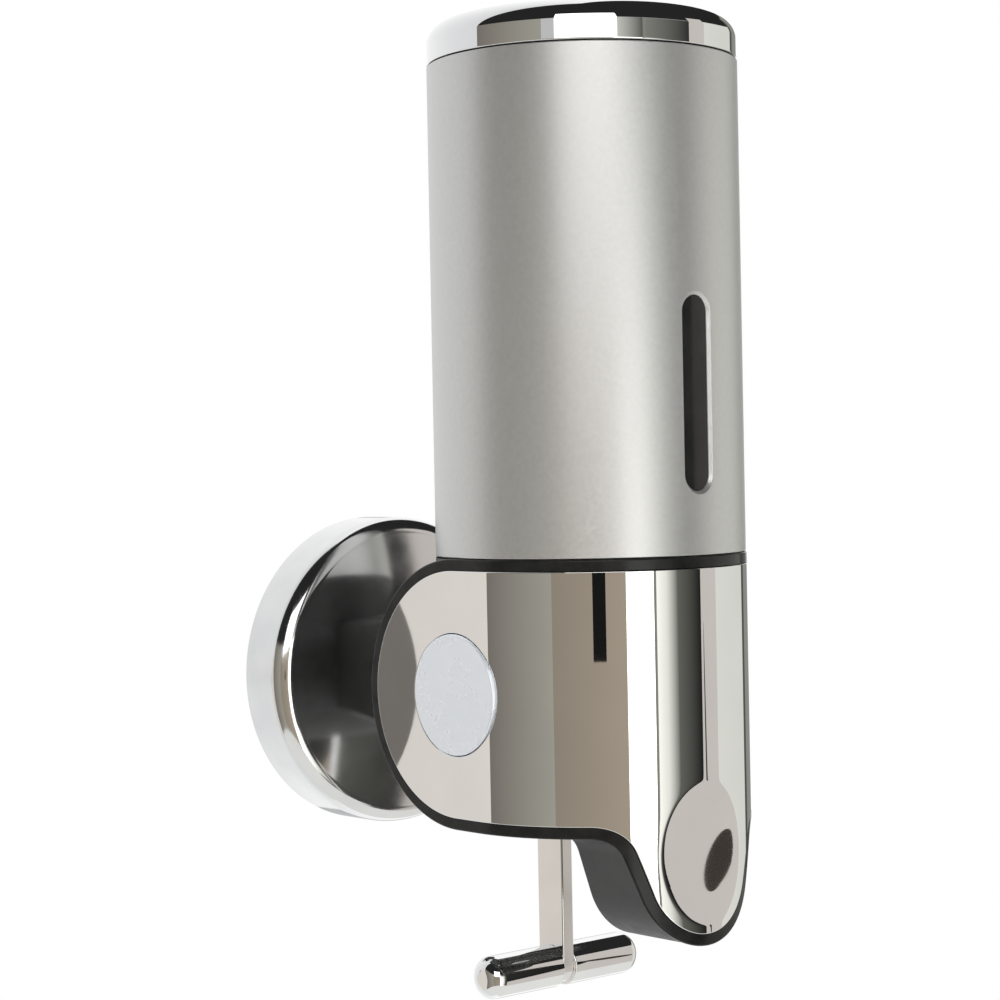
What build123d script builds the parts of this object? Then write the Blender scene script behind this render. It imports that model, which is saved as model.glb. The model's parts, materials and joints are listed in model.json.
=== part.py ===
"""Wall mounted soap dispenser with a pull lever, millimetres.

Frame: origin at the centre of the round wall rose, on the wall plane.
+Y runs into the wall, -Y towards the user, +Z up, +X to the user's right.
"""
import os
from math import sqrt

from build123d import *

os.makedirs("parts", exist_ok=True)

# ---------------------------------------------------------------- driving sizes
BODY_RADIUS = 36.0           # silver tube and the round front of the housing
PROJECTION = 85.0            # wall plane to the tube's axis
TUBE_HEIGHT = 113.0
TUBE_WALL = 1.5
CAP_HEIGHT = 10.9
CAP_WALL = 1.8
CAP_EDGE_RADIUS = 5.0
CAP_DOME = 1.3               # rise of the cap's top inside its rounded edge
DOME_FLAT = 2.0              # flat spot in the middle of each dome
HOUSING_HEIGHT = 61.0
CHEEK_SETBACK = 78.0         # wall plane to the centre of the round cheeks
HOUSING_WALL = 3.6           # front and side walls
EDGE_WALL = 2.4              # deck, rear wall, underside and tongue walls
RIM_WIDTH = 2.5              # black edge left showing round the chrome plate
PLATE_THICKNESS = 1.8
PLATE_PROUD = 0.4            # chrome plate stands out past the black rim

NOSE_TIP_RADIUS = 14.9       # round lower end of the chrome tongue
NOSE_DROP = 25.4             # flat underside to the tongue's lowest point
NOSE_TAPER = 20.0            # degrees that each side of the tongue leans
NOSE_SHOULDER = 9.0          # radius where the underside turns into the tongue
NOSE_BEHIND_PUMP = 7.5       # pump's axis back to the nose's rear face
DISH_HALF_WIDTH = 12.3
DISH_HALF_HEIGHT = 16.0
DISH_DROP = 5.0              # flat underside down to the dish's middle
DISH_BACKING = 1.6           # housing wall behind the dished plate

ROSE_RADIUS = 38.8
ROSE_SIDE = 11.0             # straight part of the rose's side wall
ROSE_EDGE_RADIUS = 5.5
ROSE_DOME = 1.6              # rise of the rose's face inside its rounded edge
ROSE_WALL = 1.6
ROSE_LIP = 4.0               # ring on the wall plate that the rose grips
WALL_PLATE_THICKNESS = 3.0
SCREW_SPACING = 46.0
SCREW_HOLE_RADIUS = 2.5
ARM_WIDTH = 15.0
ARM_HEIGHT = 30.0
ARM_CORNER = 2.5
ARM_SCREW_SPACING = 16.0
ARM_SCREW_LENGTH = 14.0
CLAMP_WIDTH = 24.0
CLAMP_HEIGHT = 38.0
CLAMP_THICKNESS = 3.0
CLAMP_SETBACK = 60.0         # wall plane to the clamp's seat inside the housing

WINDOW_LENGTH = 43.5
WINDOW_WIDTH = 7.6
WINDOW_BEVEL = 1.0           # slope round the slot in the tube
WINDOW_CENTRE = 36.0         # above the tube's lower edge
LENS_THICKNESS = 1.4
LENS_BORDER = 2.4

RESERVOIR_ROOM = 2.0         # tube's inner wall to the reservoir
RESERVOIR_WALL = 2.0
RESERVOIR_FLOOR = 2.5
RESERVOIR_RISE = 11.0        # tube's lower edge to the reservoir's underside
RESERVOIR_TOP_GAP = 8.0      # reservoir's mouth below the tube's upper edge
SEAT_INNER_RADIUS = 26.0
SEAT_FLANGE = 3.0
SEAT_UPSTAND = 3.6
SEAT_SCREW_CIRCLE = 28.4

PUMP_ROOM = 0.9              # pump barrel to the housing's front wall
BARREL_RADIUS = 8.5
BARREL_FLANGE_RADIUS = 10.5
BARREL_FLANGE = 2.0
BORE_RADIUS = 6.5
SOCKET_RADIUS = 7.0
SOCKET_DEPTH = 7.0
INLET_WALL = 2.0
INLET_HOLE_RADIUS = 0.8
INLET_HOLE_CIRCLE = 2.8
INLET_FLAP_RADIUS = 4.3
INLET_FLAP = 0.8
INLET_STALK_RADIUS = 1.2
INLET_BARB_RADIUS = 1.68     # barb that holds the stalk in its hole
SPIGOT_RADIUS = 5.5
SPIGOT_BORE = 3.5
SPIGOT_LENGTH = 6.5
SEAL_HEIGHT = 2.0
SPRING_ROOM = 12.5           # piston crown to the inlet wall at rest
SPRING_RADIUS = 5.3
SPRING_WIRE = 0.8
SPRING_TURNS = 4
PISTON_HEIGHT = 6.0
PISTON_CLEARANCE = 0.3
PISTON_SEAL_HEIGHT = 3.0
PISTON_SEAL_DEPTH = 1.6
GLAND_HEIGHT = 2.2
STEM_RADIUS = 3.5
STEM_BORE = 2.0
COLLAR_RADIUS = 6.5
COLLAR_THICKNESS = 2.0
NOZZLE_RADIUS = 4.5
NOZZLE_LENGTH = 14.0
NOZZLE_SOCKET = 4.0
NOZZLE_RECESS = 2.0          # nozzle's mouth above the nose's lowest point
OUTLET_HOLE_RADIUS = 5.0
NOZZLE_CHAMFER = 0.9
NOZZLE_BORE = 2.9
DUCKBILL_NECK = 2.16         # radius where the bill starts
DUCKBILL_LENGTH = 3.2
DUCKBILL_WIDTH = 3.744
DUCKBILL_THICKNESS = 0.96
DUCKBILL_SLIT = 0.288
CLIP_THICKNESS = 2.0
CLIP_HALF_WIDTH = 12.0
CLIP_GROOVE = 1.0

PIVOT_RADIUS = 2.5
BOSS_RADIUS = 6.0
BOSS_FACE = 22.0             # centre plane to the inner end of each pivot boss
HUB_RADIUS = 7.0
HUB_WIDTH = 16.0
BUSH_WALL = 1.5
PRONG_WIDTH = 3.0
PRONG_ROOT_RADIUS = 3.4
PRONG_TIP_RADIUS = 1.8
PRONG_TIP_DROP = 2.0         # prong tip below the pivot
SIDE_DISC_RADIUS = 13.75
SIDE_DISC_PROUD = 0.35
TAIL_WIDTH = 10.0
TAIL_DROP = 22.0
TAIL_BORDER = 1.4
STRIP_WIDTH = 8.6
STRIP_THICKNESS = 3.4
STRIP_OFFSET = 7.5           # strip's middle towards the wall from the pivot
STRIP_TOP_DROP = 9.0
RIVET_RADIUS = 1.25
RIVET_HEAD_RADIUS = 2.2
RIVET_DROPS = (12.5, 18.5)
HANDLE_DROP = 67.5           # pivot down to the handle's axis
HANDLE_RADIUS = 5.0
HANDLE_LENGTH = 47.0
HANDLE_EDGE_RADIUS = 3.5
STUD_RADIUS = 2.0
STUD_LENGTH = 28.0
LEVER_TRAVEL = 16.0          # degrees that the handle pulls forward

HATCH_HALF_WIDTH = 22.0
HATCH_FRONT = 96.5           # wall plane to the cover's front edge
HATCH_REAR = 59.0
HATCH_TOP = -20.0
NOTCH_ROOM = 1.2             # room cut out of the tube seat round the pump's flange
COVER_SCREW_X = 16.0
COVER_SCREW_SETBACK = 88.0
COVER_POST_HALF = 4.0
COVER_POST_HEIGHT = 8.0
LEVER_SLOT_FRONT = 86.5      # wall plane to the front end of the lever's slot
LEVER_SLOT_REAR = 64.0
LEVER_SLOT_SIDE = 1.2        # room each side of the strip

SMALL_SCREW_RADIUS = 1.5
SMALL_SCREW_HEAD = 2.9
SMALL_SCREW_LENGTH = 8.0

SLIP = 0.05                  # radial running clearance
FIT = 0.15                   # room round fixed pieces
GAP = 0.3                    # room between bodies that move apart
PRESS = 0.02                 # radial room of a pressed or glued fit

# ---------------------------------------------------------------- worked out
AXIS_Y = -PROJECTION
CHEEK_Y = -CHEEK_SETBACK
CHEEK_RADIUS = HOUSING_HEIGHT / 2
FRONT_Y = AXIS_Y - BODY_RADIUS
PUMP_Y = FRONT_Y + HOUSING_WALL + PUMP_ROOM + BARREL_RADIUS
NOSE_REAR_Y = PUMP_Y + NOSE_BEHIND_PUMP
DISH_CENTRE_Z = -CHEEK_RADIUS - DISH_DROP
NOSE_BOTTOM = -CHEEK_RADIUS - NOSE_DROP
TUBE_BOTTOM = CHEEK_RADIUS + GAP
TUBE_TOP = TUBE_BOTTOM + TUBE_HEIGHT
TUBE_INNER = BODY_RADIUS - TUBE_WALL
RESERVOIR_RADIUS = TUBE_INNER - RESERVOIR_ROOM
CAP_BOTTOM = TUBE_TOP + GAP
RESERVOIR_BOTTOM = TUBE_BOTTOM + RESERVOIR_RISE
RESERVOIR_TOP = TUBE_TOP - RESERVOIR_TOP_GAP
BARREL_TOP = RESERVOIR_BOTTOM - GAP
INLET_TOP = BARREL_TOP - SOCKET_DEPTH
INLET_BOTTOM = INLET_TOP - INLET_WALL
PISTON_TOP = INLET_BOTTOM - SPRING_ROOM
PISTON_BOTTOM = PISTON_TOP - PISTON_HEIGHT
GLAND_TOP = PISTON_BOTTOM - 2 * GAP
BARREL_BOTTOM = GLAND_TOP - GLAND_HEIGHT
COLLAR_BOTTOM = PRONG_TIP_RADIUS - PRONG_TIP_DROP + GAP
NOZZLE_BOTTOM = NOSE_BOTTOM + NOZZLE_RECESS
NOZZLE_TOP = NOZZLE_BOTTOM + NOZZLE_LENGTH
STRIP_Y = CHEEK_Y + STRIP_OFFSET
SEAT_OUTER_RADIUS = TUBE_INNER - GAP
DECK_BOTTOM = CHEEK_RADIUS - EDGE_WALL
RECESS = PLATE_THICKNESS - PLATE_PROUD + SLIP
SHOW_RADIUS = BODY_RADIUS + PLATE_PROUD

TOWARDS_WALL = Plane(origin=(0, 0, 0), x_dir=(1, 0, 0), z_dir=(0, 1, 0))
pump_axis = Plane(origin=(0, PUMP_Y, 0))


def plan_face(inset, z):
    """Plan of the housing: a half circle in front, straight sides behind."""
    radius = BODY_RADIUS - inset
    with BuildSketch(Plane.XY.offset(z)) as plan:
        with BuildLine():
            left = (-radius, AXIS_Y)
            right = (radius, AXIS_Y)
            ThreePointArc(left, (0, AXIS_Y - radius), right)
            Polyline(right, (radius, 0), (-radius, 0), left)
        make_face()
    return plan.sketch


def cheek_face(inset):
    """Side view of the main block: round behind, square in front."""
    radius = CHEEK_RADIUS - inset
    reach = CHEEK_Y - FRONT_Y + BODY_RADIUS
    with BuildSketch(Plane.YZ) as cheek:
        with Locations((CHEEK_Y, 0)):
            Circle(radius)
        with Locations((CHEEK_Y - reach / 2, 0)):
            Rectangle(reach, 2 * radius)
    return cheek.sketch


def tongue_face(inset):
    """Front view of the tongue: shoulders, leaning sides and a round end."""
    lean = Vector(1, 0).rotate(Axis.Z, -NOSE_TAPER)
    tip_radius = NOSE_TIP_RADIUS + RIM_WIDTH - inset
    tip = Vector(0, NOSE_BOTTOM + NOSE_TIP_RADIUS + RIM_WIDTH)
    shoulder_radius = NOSE_SHOULDER - RIM_WIDTH + inset
    rise = inset - CHEEK_RADIUS - shoulder_radius - tip.Y
    run = (tip_radius + shoulder_radius - rise * lean.Y) / lean.X
    shoulder = tip + Vector(run, rise)
    curve = [
        tip + lean * tip_radius,
        shoulder - lean * shoulder_radius,
        shoulder + Vector(-1, 1).normalized() * shoulder_radius,
        shoulder + Vector(0, shoulder_radius),
    ]
    mirrored = [Vector(-point.X, point.Y) for point in curve]
    with BuildSketch(Plane.XZ) as tongue:
        with BuildLine():
            ThreePointArc(mirrored[0], tip - Vector(0, tip_radius), curve[0])
            Line(curve[0], curve[1])
            ThreePointArc(curve[1], curve[2], curve[3])
            Polyline(curve[3], (shoulder.X, 0), (-shoulder.X, 0), mirrored[3])
            ThreePointArc(mirrored[3], mirrored[2], mirrored[1])
            Line(mirrored[1], mirrored[0])
        make_face()
    return tongue.sketch


def solid_form(skin, edge, nose_rear):
    """Housing outline, set in by skin in plan and by edge in side and front view."""
    with BuildPart() as block:
        extrude(plan_face(skin, -CHEEK_RADIUS), amount=HOUSING_HEIGHT)
        extrude(cheek_face(edge), amount=2 * BODY_RADIUS, both=True, mode=Mode.INTERSECT)
    with BuildPart() as tongue:
        extrude(plan_face(skin, NOSE_BOTTOM), amount=-NOSE_BOTTOM)
        extrude(tongue_face(edge), amount=-2 * FRONT_Y, mode=Mode.INTERSECT)
        split(bisect_by=Plane.XZ.offset(-nose_rear), keep=Keep.TOP)
    with BuildPart() as form:
        add(block.part)
        add(tongue.part)
    return form.part


def housing_form(skin, edge, nose_rear):
    """Housing outline with the round seat that carries the back of the tube."""
    with BuildPart() as form:
        add(solid_form(skin, edge, nose_rear))
        with BuildSketch(Plane.XY):
            with Locations((0, AXIS_Y)):
                Circle(BODY_RADIUS - skin)
        extrude(amount=CHEEK_RADIUS - edge)
    return form.part


def wrap_form(outer, inner, edge):
    """Band that follows the front and the cheeks between two plan insets."""
    with BuildPart() as wrap:
        add(solid_form(outer, edge, NOSE_REAR_Y))
        extrude(plan_face(inner, 2 * NOSE_BOTTOM), amount=-4 * NOSE_BOTTOM, mode=Mode.SUBTRACT)
    return wrap.part


def dish_form(skin, edge, depth):
    """Front of the tongue taken up by the scooped dish, depth behind its face."""
    sag = SHOW_RADIUS - sqrt(SHOW_RADIUS ** 2 - DISH_HALF_WIDTH ** 2)
    radius = (DISH_HALF_HEIGHT ** 2 + sag ** 2) / (2 * sag)
    centre_y = AXIS_Y - SHOW_RADIUS + sag - radius
    with BuildPart() as dish:
        add(solid_form(skin, edge, NOSE_REAR_Y))
        with BuildSketch(Plane.YZ):
            with Locations((centre_y, DISH_CENTRE_Z)):
                Circle(radius + depth)
        extrude(amount=BODY_RADIUS, both=True, mode=Mode.INTERSECT)
    return dish.part


def ring(outer, inner, low, high, centre=(0, 0)):
    """Plain upright ring between two heights."""
    with BuildPart() as tube:
        with BuildSketch(Plane.XY.offset(low)):
            with Locations(centre):
                Circle(outer)
                Circle(inner, mode=Mode.SUBTRACT)
        extrude(amount=high - low)
    return tube.part


def cross_tube(outer, inner, low, high, y, z):
    """Plain tube along X between two stations."""
    with BuildPart() as tube:
        with BuildSketch(Plane.YZ.offset(low)):
            with Locations((y, z)):
                Circle(outer)
                if inner:
                    Circle(inner, mode=Mode.SUBTRACT)
        extrude(amount=high - low)
    return tube.part


def flush_screw(plane, radius, head_radius, length):
    """Countersunk cross-head screw, its head flush with the plane."""
    head = head_radius - radius
    with BuildPart() as screw:
        with BuildSketch(plane):
            Circle(head_radius)
        with BuildSketch(plane.offset(-head)):
            Circle(radius)
        loft()
        with BuildSketch(plane.offset(-head)):
            Circle(radius)
        extrude(amount=head - length)
        with BuildSketch(plane):
            Rectangle(2 * radius, radius / 2)
            Rectangle(radius / 2, 2 * radius)
        extrude(amount=-head / 2, mode=Mode.SUBTRACT)
    return screw.part


def save(piece, name):
    """Label a finished piece and write its file."""
    piece.label = name
    export_step(piece, f"parts/{name}.step")


# ---------------------------------------------------------------- wall fixing
plate_radius = ROSE_RADIUS - ROSE_WALL - FIT
arm_spots = [(0, ARM_SCREW_SPACING / 2), (0, -ARM_SCREW_SPACING / 2)]
wall_spots = [(0, SCREW_SPACING / 2), (0, -SCREW_SPACING / 2)]

with BuildPart() as wall_plate:
    with BuildSketch(Plane.XZ):
        Circle(plate_radius)
    extrude(amount=WALL_PLATE_THICKNESS)
    with BuildSketch(Plane.XZ.offset(WALL_PLATE_THICKNESS)):
        Circle(plate_radius)
        Circle(plate_radius - ROSE_WALL, mode=Mode.SUBTRACT)
    extrude(amount=ROSE_LIP)
    with Locations(Plane.XZ.offset(WALL_PLATE_THICKNESS)):
        with Locations(*wall_spots):
            Hole(SCREW_HOLE_RADIUS)
    with Locations(TOWARDS_WALL):
        with Locations(*arm_spots):
            CounterSinkHole(SMALL_SCREW_RADIUS + FIT, SMALL_SCREW_HEAD + FIT, counter_sink_angle=90)
save(wall_plate.part, "wall_plate")


def domed_profile(radius, side, edge, dome):
    """Half section of a shallow cup: straight side, round edge, gentle dome."""
    edge_start = Vector(radius, side)
    edge_mid = Vector(radius - edge, side) + Vector(1, 1).normalized() * edge
    edge_end = Vector(radius - edge, side + edge)
    top = side + edge + dome
    crown = Vector(DOME_FLAT, top)
    between = Vector((edge_end.X + DOME_FLAT) / 2, top - dome / 4)
    with BuildLine() as profile:
        Line((radius, 0), edge_start)
        ThreePointArc(edge_start, edge_mid, edge_end)
        ThreePointArc(edge_end, between, crown)
        Polyline(crown, (0, top), (0, 0), (radius, 0))
    return profile.line


rose_plane = Plane(origin=(0, 0, 0), x_dir=(1, 0, 0), z_dir=(0, 0, -1))
with BuildPart() as wall_rose:
    with BuildSketch(rose_plane):
        with BuildLine():
            add(domed_profile(ROSE_RADIUS, ROSE_SIDE, ROSE_EDGE_RADIUS, ROSE_DOME))
        make_face()
    revolve(axis=Axis.Y)
    with BuildSketch(rose_plane):
        with BuildLine():
            add(domed_profile(ROSE_RADIUS - ROSE_WALL, ROSE_SIDE,
                              ROSE_EDGE_RADIUS - ROSE_WALL, ROSE_DOME))
        make_face()
    revolve(axis=Axis.Y, mode=Mode.SUBTRACT)
    with BuildSketch(Plane.XZ):
        RectangleRounded(ARM_WIDTH + 2 * GAP, ARM_HEIGHT + 2 * GAP, ARM_CORNER)
    extrude(amount=PROJECTION, mode=Mode.SUBTRACT)
save(wall_rose.part, "wall_rose")

arm_front = Plane.XZ.offset(CLAMP_SETBACK)
arm_back = Plane(origin=(0, -WALL_PLATE_THICKNESS, 0), x_dir=(1, 0, 0), z_dir=(0, 1, 0))
with BuildPart() as wall_arm:
    with BuildSketch(Plane.XZ.offset(WALL_PLATE_THICKNESS)):
        RectangleRounded(ARM_WIDTH, ARM_HEIGHT, ARM_CORNER)
    extrude(amount=CLAMP_SETBACK - WALL_PLATE_THICKNESS)
    for face_plane in (arm_back, arm_front):
        with Locations(face_plane):
            with Locations(*arm_spots):
                Hole(SMALL_SCREW_RADIUS + PRESS, depth=ARM_SCREW_LENGTH)
save(wall_arm.part, "wall_arm")

with BuildPart() as arm_screws:
    for x, z in arm_spots:
        head_plane = Plane(origin=(x, 0, z), x_dir=(1, 0, 0), z_dir=(0, 1, 0))
        add(flush_screw(head_plane, SMALL_SCREW_RADIUS, SMALL_SCREW_HEAD, ARM_SCREW_LENGTH))
save(arm_screws.part, "arm_screws")

clamp_front = Plane.XZ.offset(CLAMP_SETBACK + CLAMP_THICKNESS)
with BuildPart() as clamp_plate:
    with BuildSketch(arm_front):
        RectangleRounded(CLAMP_WIDTH, CLAMP_HEIGHT, ARM_CORNER)
    extrude(amount=CLAMP_THICKNESS)
    with Locations(clamp_front):
        with Locations(*arm_spots):
            CounterSinkHole(SMALL_SCREW_RADIUS + FIT, SMALL_SCREW_HEAD + FIT,
                            counter_sink_angle=90)
save(clamp_plate.part, "clamp_plate")

with BuildPart() as clamp_screws:
    for x, z in arm_spots:
        head_plane = Plane(origin=(x, -CLAMP_SETBACK - CLAMP_THICKNESS, z), x_dir=(1, 0, 0),
                           z_dir=(0, -1, 0))
        add(flush_screw(head_plane, SMALL_SCREW_RADIUS, SMALL_SCREW_HEAD, ARM_SCREW_LENGTH))
save(clamp_screws.part, "clamp_screws")

# ---------------------------------------------------------------- housing
cover_spots = [(x, -COVER_SCREW_SETBACK) for x in (-COVER_SCREW_X, COVER_SCREW_X)]
seat_spots = [Vector(SEAT_SCREW_CIRCLE, 0).rotate(Axis.Z, angle) + Vector(0, AXIS_Y)
              for angle in (90, 210, 330)]
boss_end = BODY_RADIUS - RECESS - SLIP


def hatch_form(room):
    """Block that parts the underside cover from the shell."""
    with BuildPart() as hatch:
        with BuildSketch(Plane.XY.offset(HATCH_TOP)):
            with Locations((0, -(HATCH_FRONT + HATCH_REAR) / 2)):
                Rectangle(2 * (HATCH_HALF_WIDTH - room), HATCH_FRONT - HATCH_REAR - 2 * room)
        extrude(amount=2 * HATCH_TOP)
    return hatch.part


with BuildPart() as hollow:
    add(housing_form(HOUSING_WALL, EDGE_WALL, NOSE_REAR_Y - EDGE_WALL))
    add(dish_form(-1, 0, PLATE_THICKNESS + SLIP + DISH_BACKING), mode=Mode.SUBTRACT)

with BuildPart() as recess:
    add(wrap_form(-1, RECESS, RIM_WIDTH - FIT))
    add(dish_form(-1, RIM_WIDTH - FIT, PLATE_THICKNESS + SLIP))

with BuildPart() as clamp_seat:
    with BuildSketch(arm_front):
        Rectangle(CLAMP_WIDTH + 2 * EDGE_WALL, CLAMP_HEIGHT)
    extrude(amount=-CLAMP_SETBACK)
    add(solid_form(SLIP, SLIP, NOSE_REAR_Y), mode=Mode.INTERSECT)

with BuildPart() as housing_body:
    add(housing_form(0, 0, NOSE_REAR_Y))
    add(hollow.part, mode=Mode.SUBTRACT)
    add(recess.part, mode=Mode.SUBTRACT)
    add(hatch_form(0), mode=Mode.SUBTRACT)
    add(clamp_seat.part)
    for x, y in cover_spots:
        side = 1 if x > 0 else -1
        post_inner = abs(x) - COVER_POST_HALF
        post_outer = BODY_RADIUS - HOUSING_WALL + SLIP
        with BuildSketch(Plane.XY.offset(-DECK_BOTTOM)):
            with Locations((side * (post_inner + post_outer) / 2, y)):
                Rectangle(post_outer - post_inner, 2 * COVER_POST_HALF)
        extrude(amount=COVER_POST_HEIGHT)
    for side in (-1, 1):
        low, high = sorted((side * BOSS_FACE, side * boss_end))
        add(cross_tube(BOSS_RADIUS, 0, low, high, CHEEK_Y, 0))
    add(cross_tube(PIVOT_RADIUS + PRESS, 0, -BODY_RADIUS, BODY_RADIUS, CHEEK_Y, 0),
        mode=Mode.SUBTRACT)
    with BuildSketch(Plane.XZ):
        RectangleRounded(ARM_WIDTH + 2 * FIT, ARM_HEIGHT + 2 * FIT, ARM_CORNER)
    extrude(amount=CLAMP_SETBACK + EDGE_WALL, mode=Mode.SUBTRACT)
    with Locations((0, PUMP_Y, CHEEK_RADIUS)):
        Hole(BARREL_RADIUS + FIT, depth=2 * EDGE_WALL)
    with Locations((0, PUMP_Y, NOSE_BOTTOM + 2 * EDGE_WALL)):
        Hole(OUTLET_HOLE_RADIUS, depth=3 * EDGE_WALL)
    for x, y in cover_spots:
        with Locations((x, y, -DECK_BOTTOM + COVER_POST_HEIGHT)):
            Hole(SMALL_SCREW_RADIUS + PRESS, depth=2 * COVER_POST_HEIGHT)
    for spot in seat_spots:
        with Locations(Plane(origin=(spot.X, spot.Y, DECK_BOTTOM), z_dir=(0, 0, -1))):
            CounterSinkHole(SMALL_SCREW_RADIUS + FIT, SMALL_SCREW_HEAD + FIT,
                            depth=2 * EDGE_WALL, counter_sink_angle=90)
save(housing_body.part, "housing_body")

with BuildPart() as underside_cover:
    add(solid_form(0, 0, NOSE_REAR_Y))
    add(hollow.part, mode=Mode.SUBTRACT)
    add(hatch_form(FIT), mode=Mode.INTERSECT)
    with BuildSketch(Plane.XY.offset(-CHEEK_RADIUS)):
        with Locations((0, -(LEVER_SLOT_FRONT + LEVER_SLOT_REAR) / 2)):
            Rectangle(STRIP_THICKNESS + 2 * LEVER_SLOT_SIDE, LEVER_SLOT_FRONT - LEVER_SLOT_REAR)
    extrude(amount=CHEEK_RADIUS, mode=Mode.SUBTRACT)
    for x, y in cover_spots:
        with Locations(Plane(origin=(x, y, -CHEEK_RADIUS), z_dir=(0, 0, -1))):
            CounterSinkHole(SMALL_SCREW_RADIUS + FIT, SMALL_SCREW_HEAD + FIT,
                            depth=2 * EDGE_WALL, counter_sink_angle=90)
save(underside_cover.part, "underside_cover")

with BuildPart() as cover_screws:
    for x, y in cover_spots:
        head_plane = Plane(origin=(x, y, -CHEEK_RADIUS), z_dir=(0, 0, -1))
        add(flush_screw(head_plane, SMALL_SCREW_RADIUS, SMALL_SCREW_HEAD, SMALL_SCREW_LENGTH))
save(cover_screws.part, "cover_screws")

with BuildPart() as front_plate:
    add(wrap_form(-PLATE_PROUD, PLATE_THICKNESS - PLATE_PROUD, RIM_WIDTH))
    add(dish_form(-PLATE_PROUD, RIM_WIDTH, PLATE_THICKNESS))
    add(dish_form(-1, 0, 0), mode=Mode.SUBTRACT)
    add(cross_tube(SIDE_DISC_RADIUS + FIT, 0, -2 * BODY_RADIUS, 2 * BODY_RADIUS, CHEEK_Y, 0),
        mode=Mode.SUBTRACT)
save(front_plate.part, "front_plate")

for side, name in ((-1, "side_disc_left"), (1, "side_disc_right")):
    with BuildPart() as side_disc:
        inner = boss_end + 2 * SLIP
        low, high = sorted((side * inner, side * (SHOW_RADIUS + SIDE_DISC_PROUD)))
        add(cross_tube(SIDE_DISC_RADIUS, 0, low, high, CHEEK_Y, 0))
        show_face = side_disc.faces().sort_by(Axis.X)[0 if side < 0 else -1]
        chamfer(show_face.edges(), length=SIDE_DISC_PROUD)
    save(side_disc.part, name)

# ---------------------------------------------------------------- tube and reservoir
with BuildPart() as tube_seat:
    add(ring(SEAT_OUTER_RADIUS, SEAT_INNER_RADIUS, CHEEK_RADIUS, CHEEK_RADIUS + SEAT_FLANGE,
             (0, AXIS_Y)))
    add(ring(SEAT_OUTER_RADIUS, SEAT_OUTER_RADIUS - SEAT_UPSTAND, CHEEK_RADIUS,
             RESERVOIR_BOTTOM, (0, AXIS_Y)))
    with Locations((0, PUMP_Y, RESERVOIR_BOTTOM)):
        Hole(BARREL_FLANGE_RADIUS + NOTCH_ROOM, depth=RESERVOIR_BOTTOM)
    for spot in seat_spots:
        with Locations((spot.X, spot.Y, CHEEK_RADIUS + SEAT_FLANGE)):
            Hole(SMALL_SCREW_RADIUS + PRESS, depth=2 * SEAT_FLANGE)
save(tube_seat.part, "tube_seat")

with BuildPart() as seat_screws:
    for spot in seat_spots:
        head_plane = Plane(origin=(spot.X, spot.Y, DECK_BOTTOM), z_dir=(0, 0, -1))
        add(flush_screw(head_plane, SMALL_SCREW_RADIUS, SMALL_SCREW_HEAD,
                        EDGE_WALL + SEAT_FLANGE - FIT))
save(seat_screws.part, "seat_screws")

slot_centre = TUBE_BOTTOM + WINDOW_CENTRE
with BuildPart() as tube_shell:
    add(ring(BODY_RADIUS, TUBE_INNER, TUBE_BOTTOM, TUBE_TOP, (0, AXIS_Y)))
    with BuildSketch(Plane.XZ.offset(PROJECTION)):
        with Locations((0, slot_centre)):
            SlotOverall(WINDOW_LENGTH, WINDOW_WIDTH, rotation=90)
    extrude(amount=2 * BODY_RADIUS, mode=Mode.SUBTRACT)
    with BuildSketch(Plane.XZ.offset(-FRONT_Y)):
        with Locations((0, slot_centre)):
            SlotOverall(WINDOW_LENGTH + 2 * WINDOW_BEVEL, WINDOW_WIDTH + 2 * WINDOW_BEVEL,
                        rotation=90)
    extrude(amount=-WINDOW_BEVEL, taper=45, mode=Mode.SUBTRACT)
save(tube_shell.part, "tube_shell")


def lens_layer(outer, border):
    """Curved strip behind the slot, wider than the slot by the border."""
    with BuildPart() as layer:
        with BuildSketch(Plane.XZ.offset(PROJECTION)):
            with Locations((0, slot_centre)):
                SlotOverall(WINDOW_LENGTH + 2 * border, WINDOW_WIDTH + 2 * border, rotation=90)
        extrude(amount=2 * BODY_RADIUS)
        add(ring(outer, TUBE_INNER - LENS_THICKNESS, TUBE_BOTTOM, TUBE_TOP, (0, AXIS_Y)),
            mode=Mode.INTERSECT)
    return layer.part


with BuildPart() as window_lens:
    add(lens_layer(TUBE_INNER - PRESS, LENS_BORDER))
    add(lens_layer(BODY_RADIUS - WINDOW_BEVEL, -PRESS))
save(window_lens.part, "window_lens")

with BuildPart() as reservoir:
    add(ring(RESERVOIR_RADIUS, RESERVOIR_RADIUS - RESERVOIR_WALL, RESERVOIR_BOTTOM,
             RESERVOIR_TOP, (0, AXIS_Y)))
    with BuildSketch(Plane.XY.offset(RESERVOIR_BOTTOM)):
        with Locations((0, AXIS_Y)):
            Circle(RESERVOIR_RADIUS)
    extrude(amount=RESERVOIR_FLOOR)
    with BuildSketch(Plane.XY.offset(RESERVOIR_BOTTOM)):
        with Locations((0, PUMP_Y)):
            Circle(SPIGOT_RADIUS)
    extrude(amount=-SPIGOT_LENGTH)
    with Locations((0, PUMP_Y, RESERVOIR_BOTTOM + RESERVOIR_FLOOR)):
        Hole(SPIGOT_BORE, depth=2 * SPIGOT_LENGTH)
save(reservoir.part, "reservoir")

seal_low = RESERVOIR_BOTTOM - SPIGOT_LENGTH + SEAL_HEIGHT / 2
save(ring(SOCKET_RADIUS - PRESS, SPIGOT_RADIUS + PRESS, seal_low, seal_low + SEAL_HEIGHT,
          (0, PUMP_Y)), "reservoir_seal")

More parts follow.
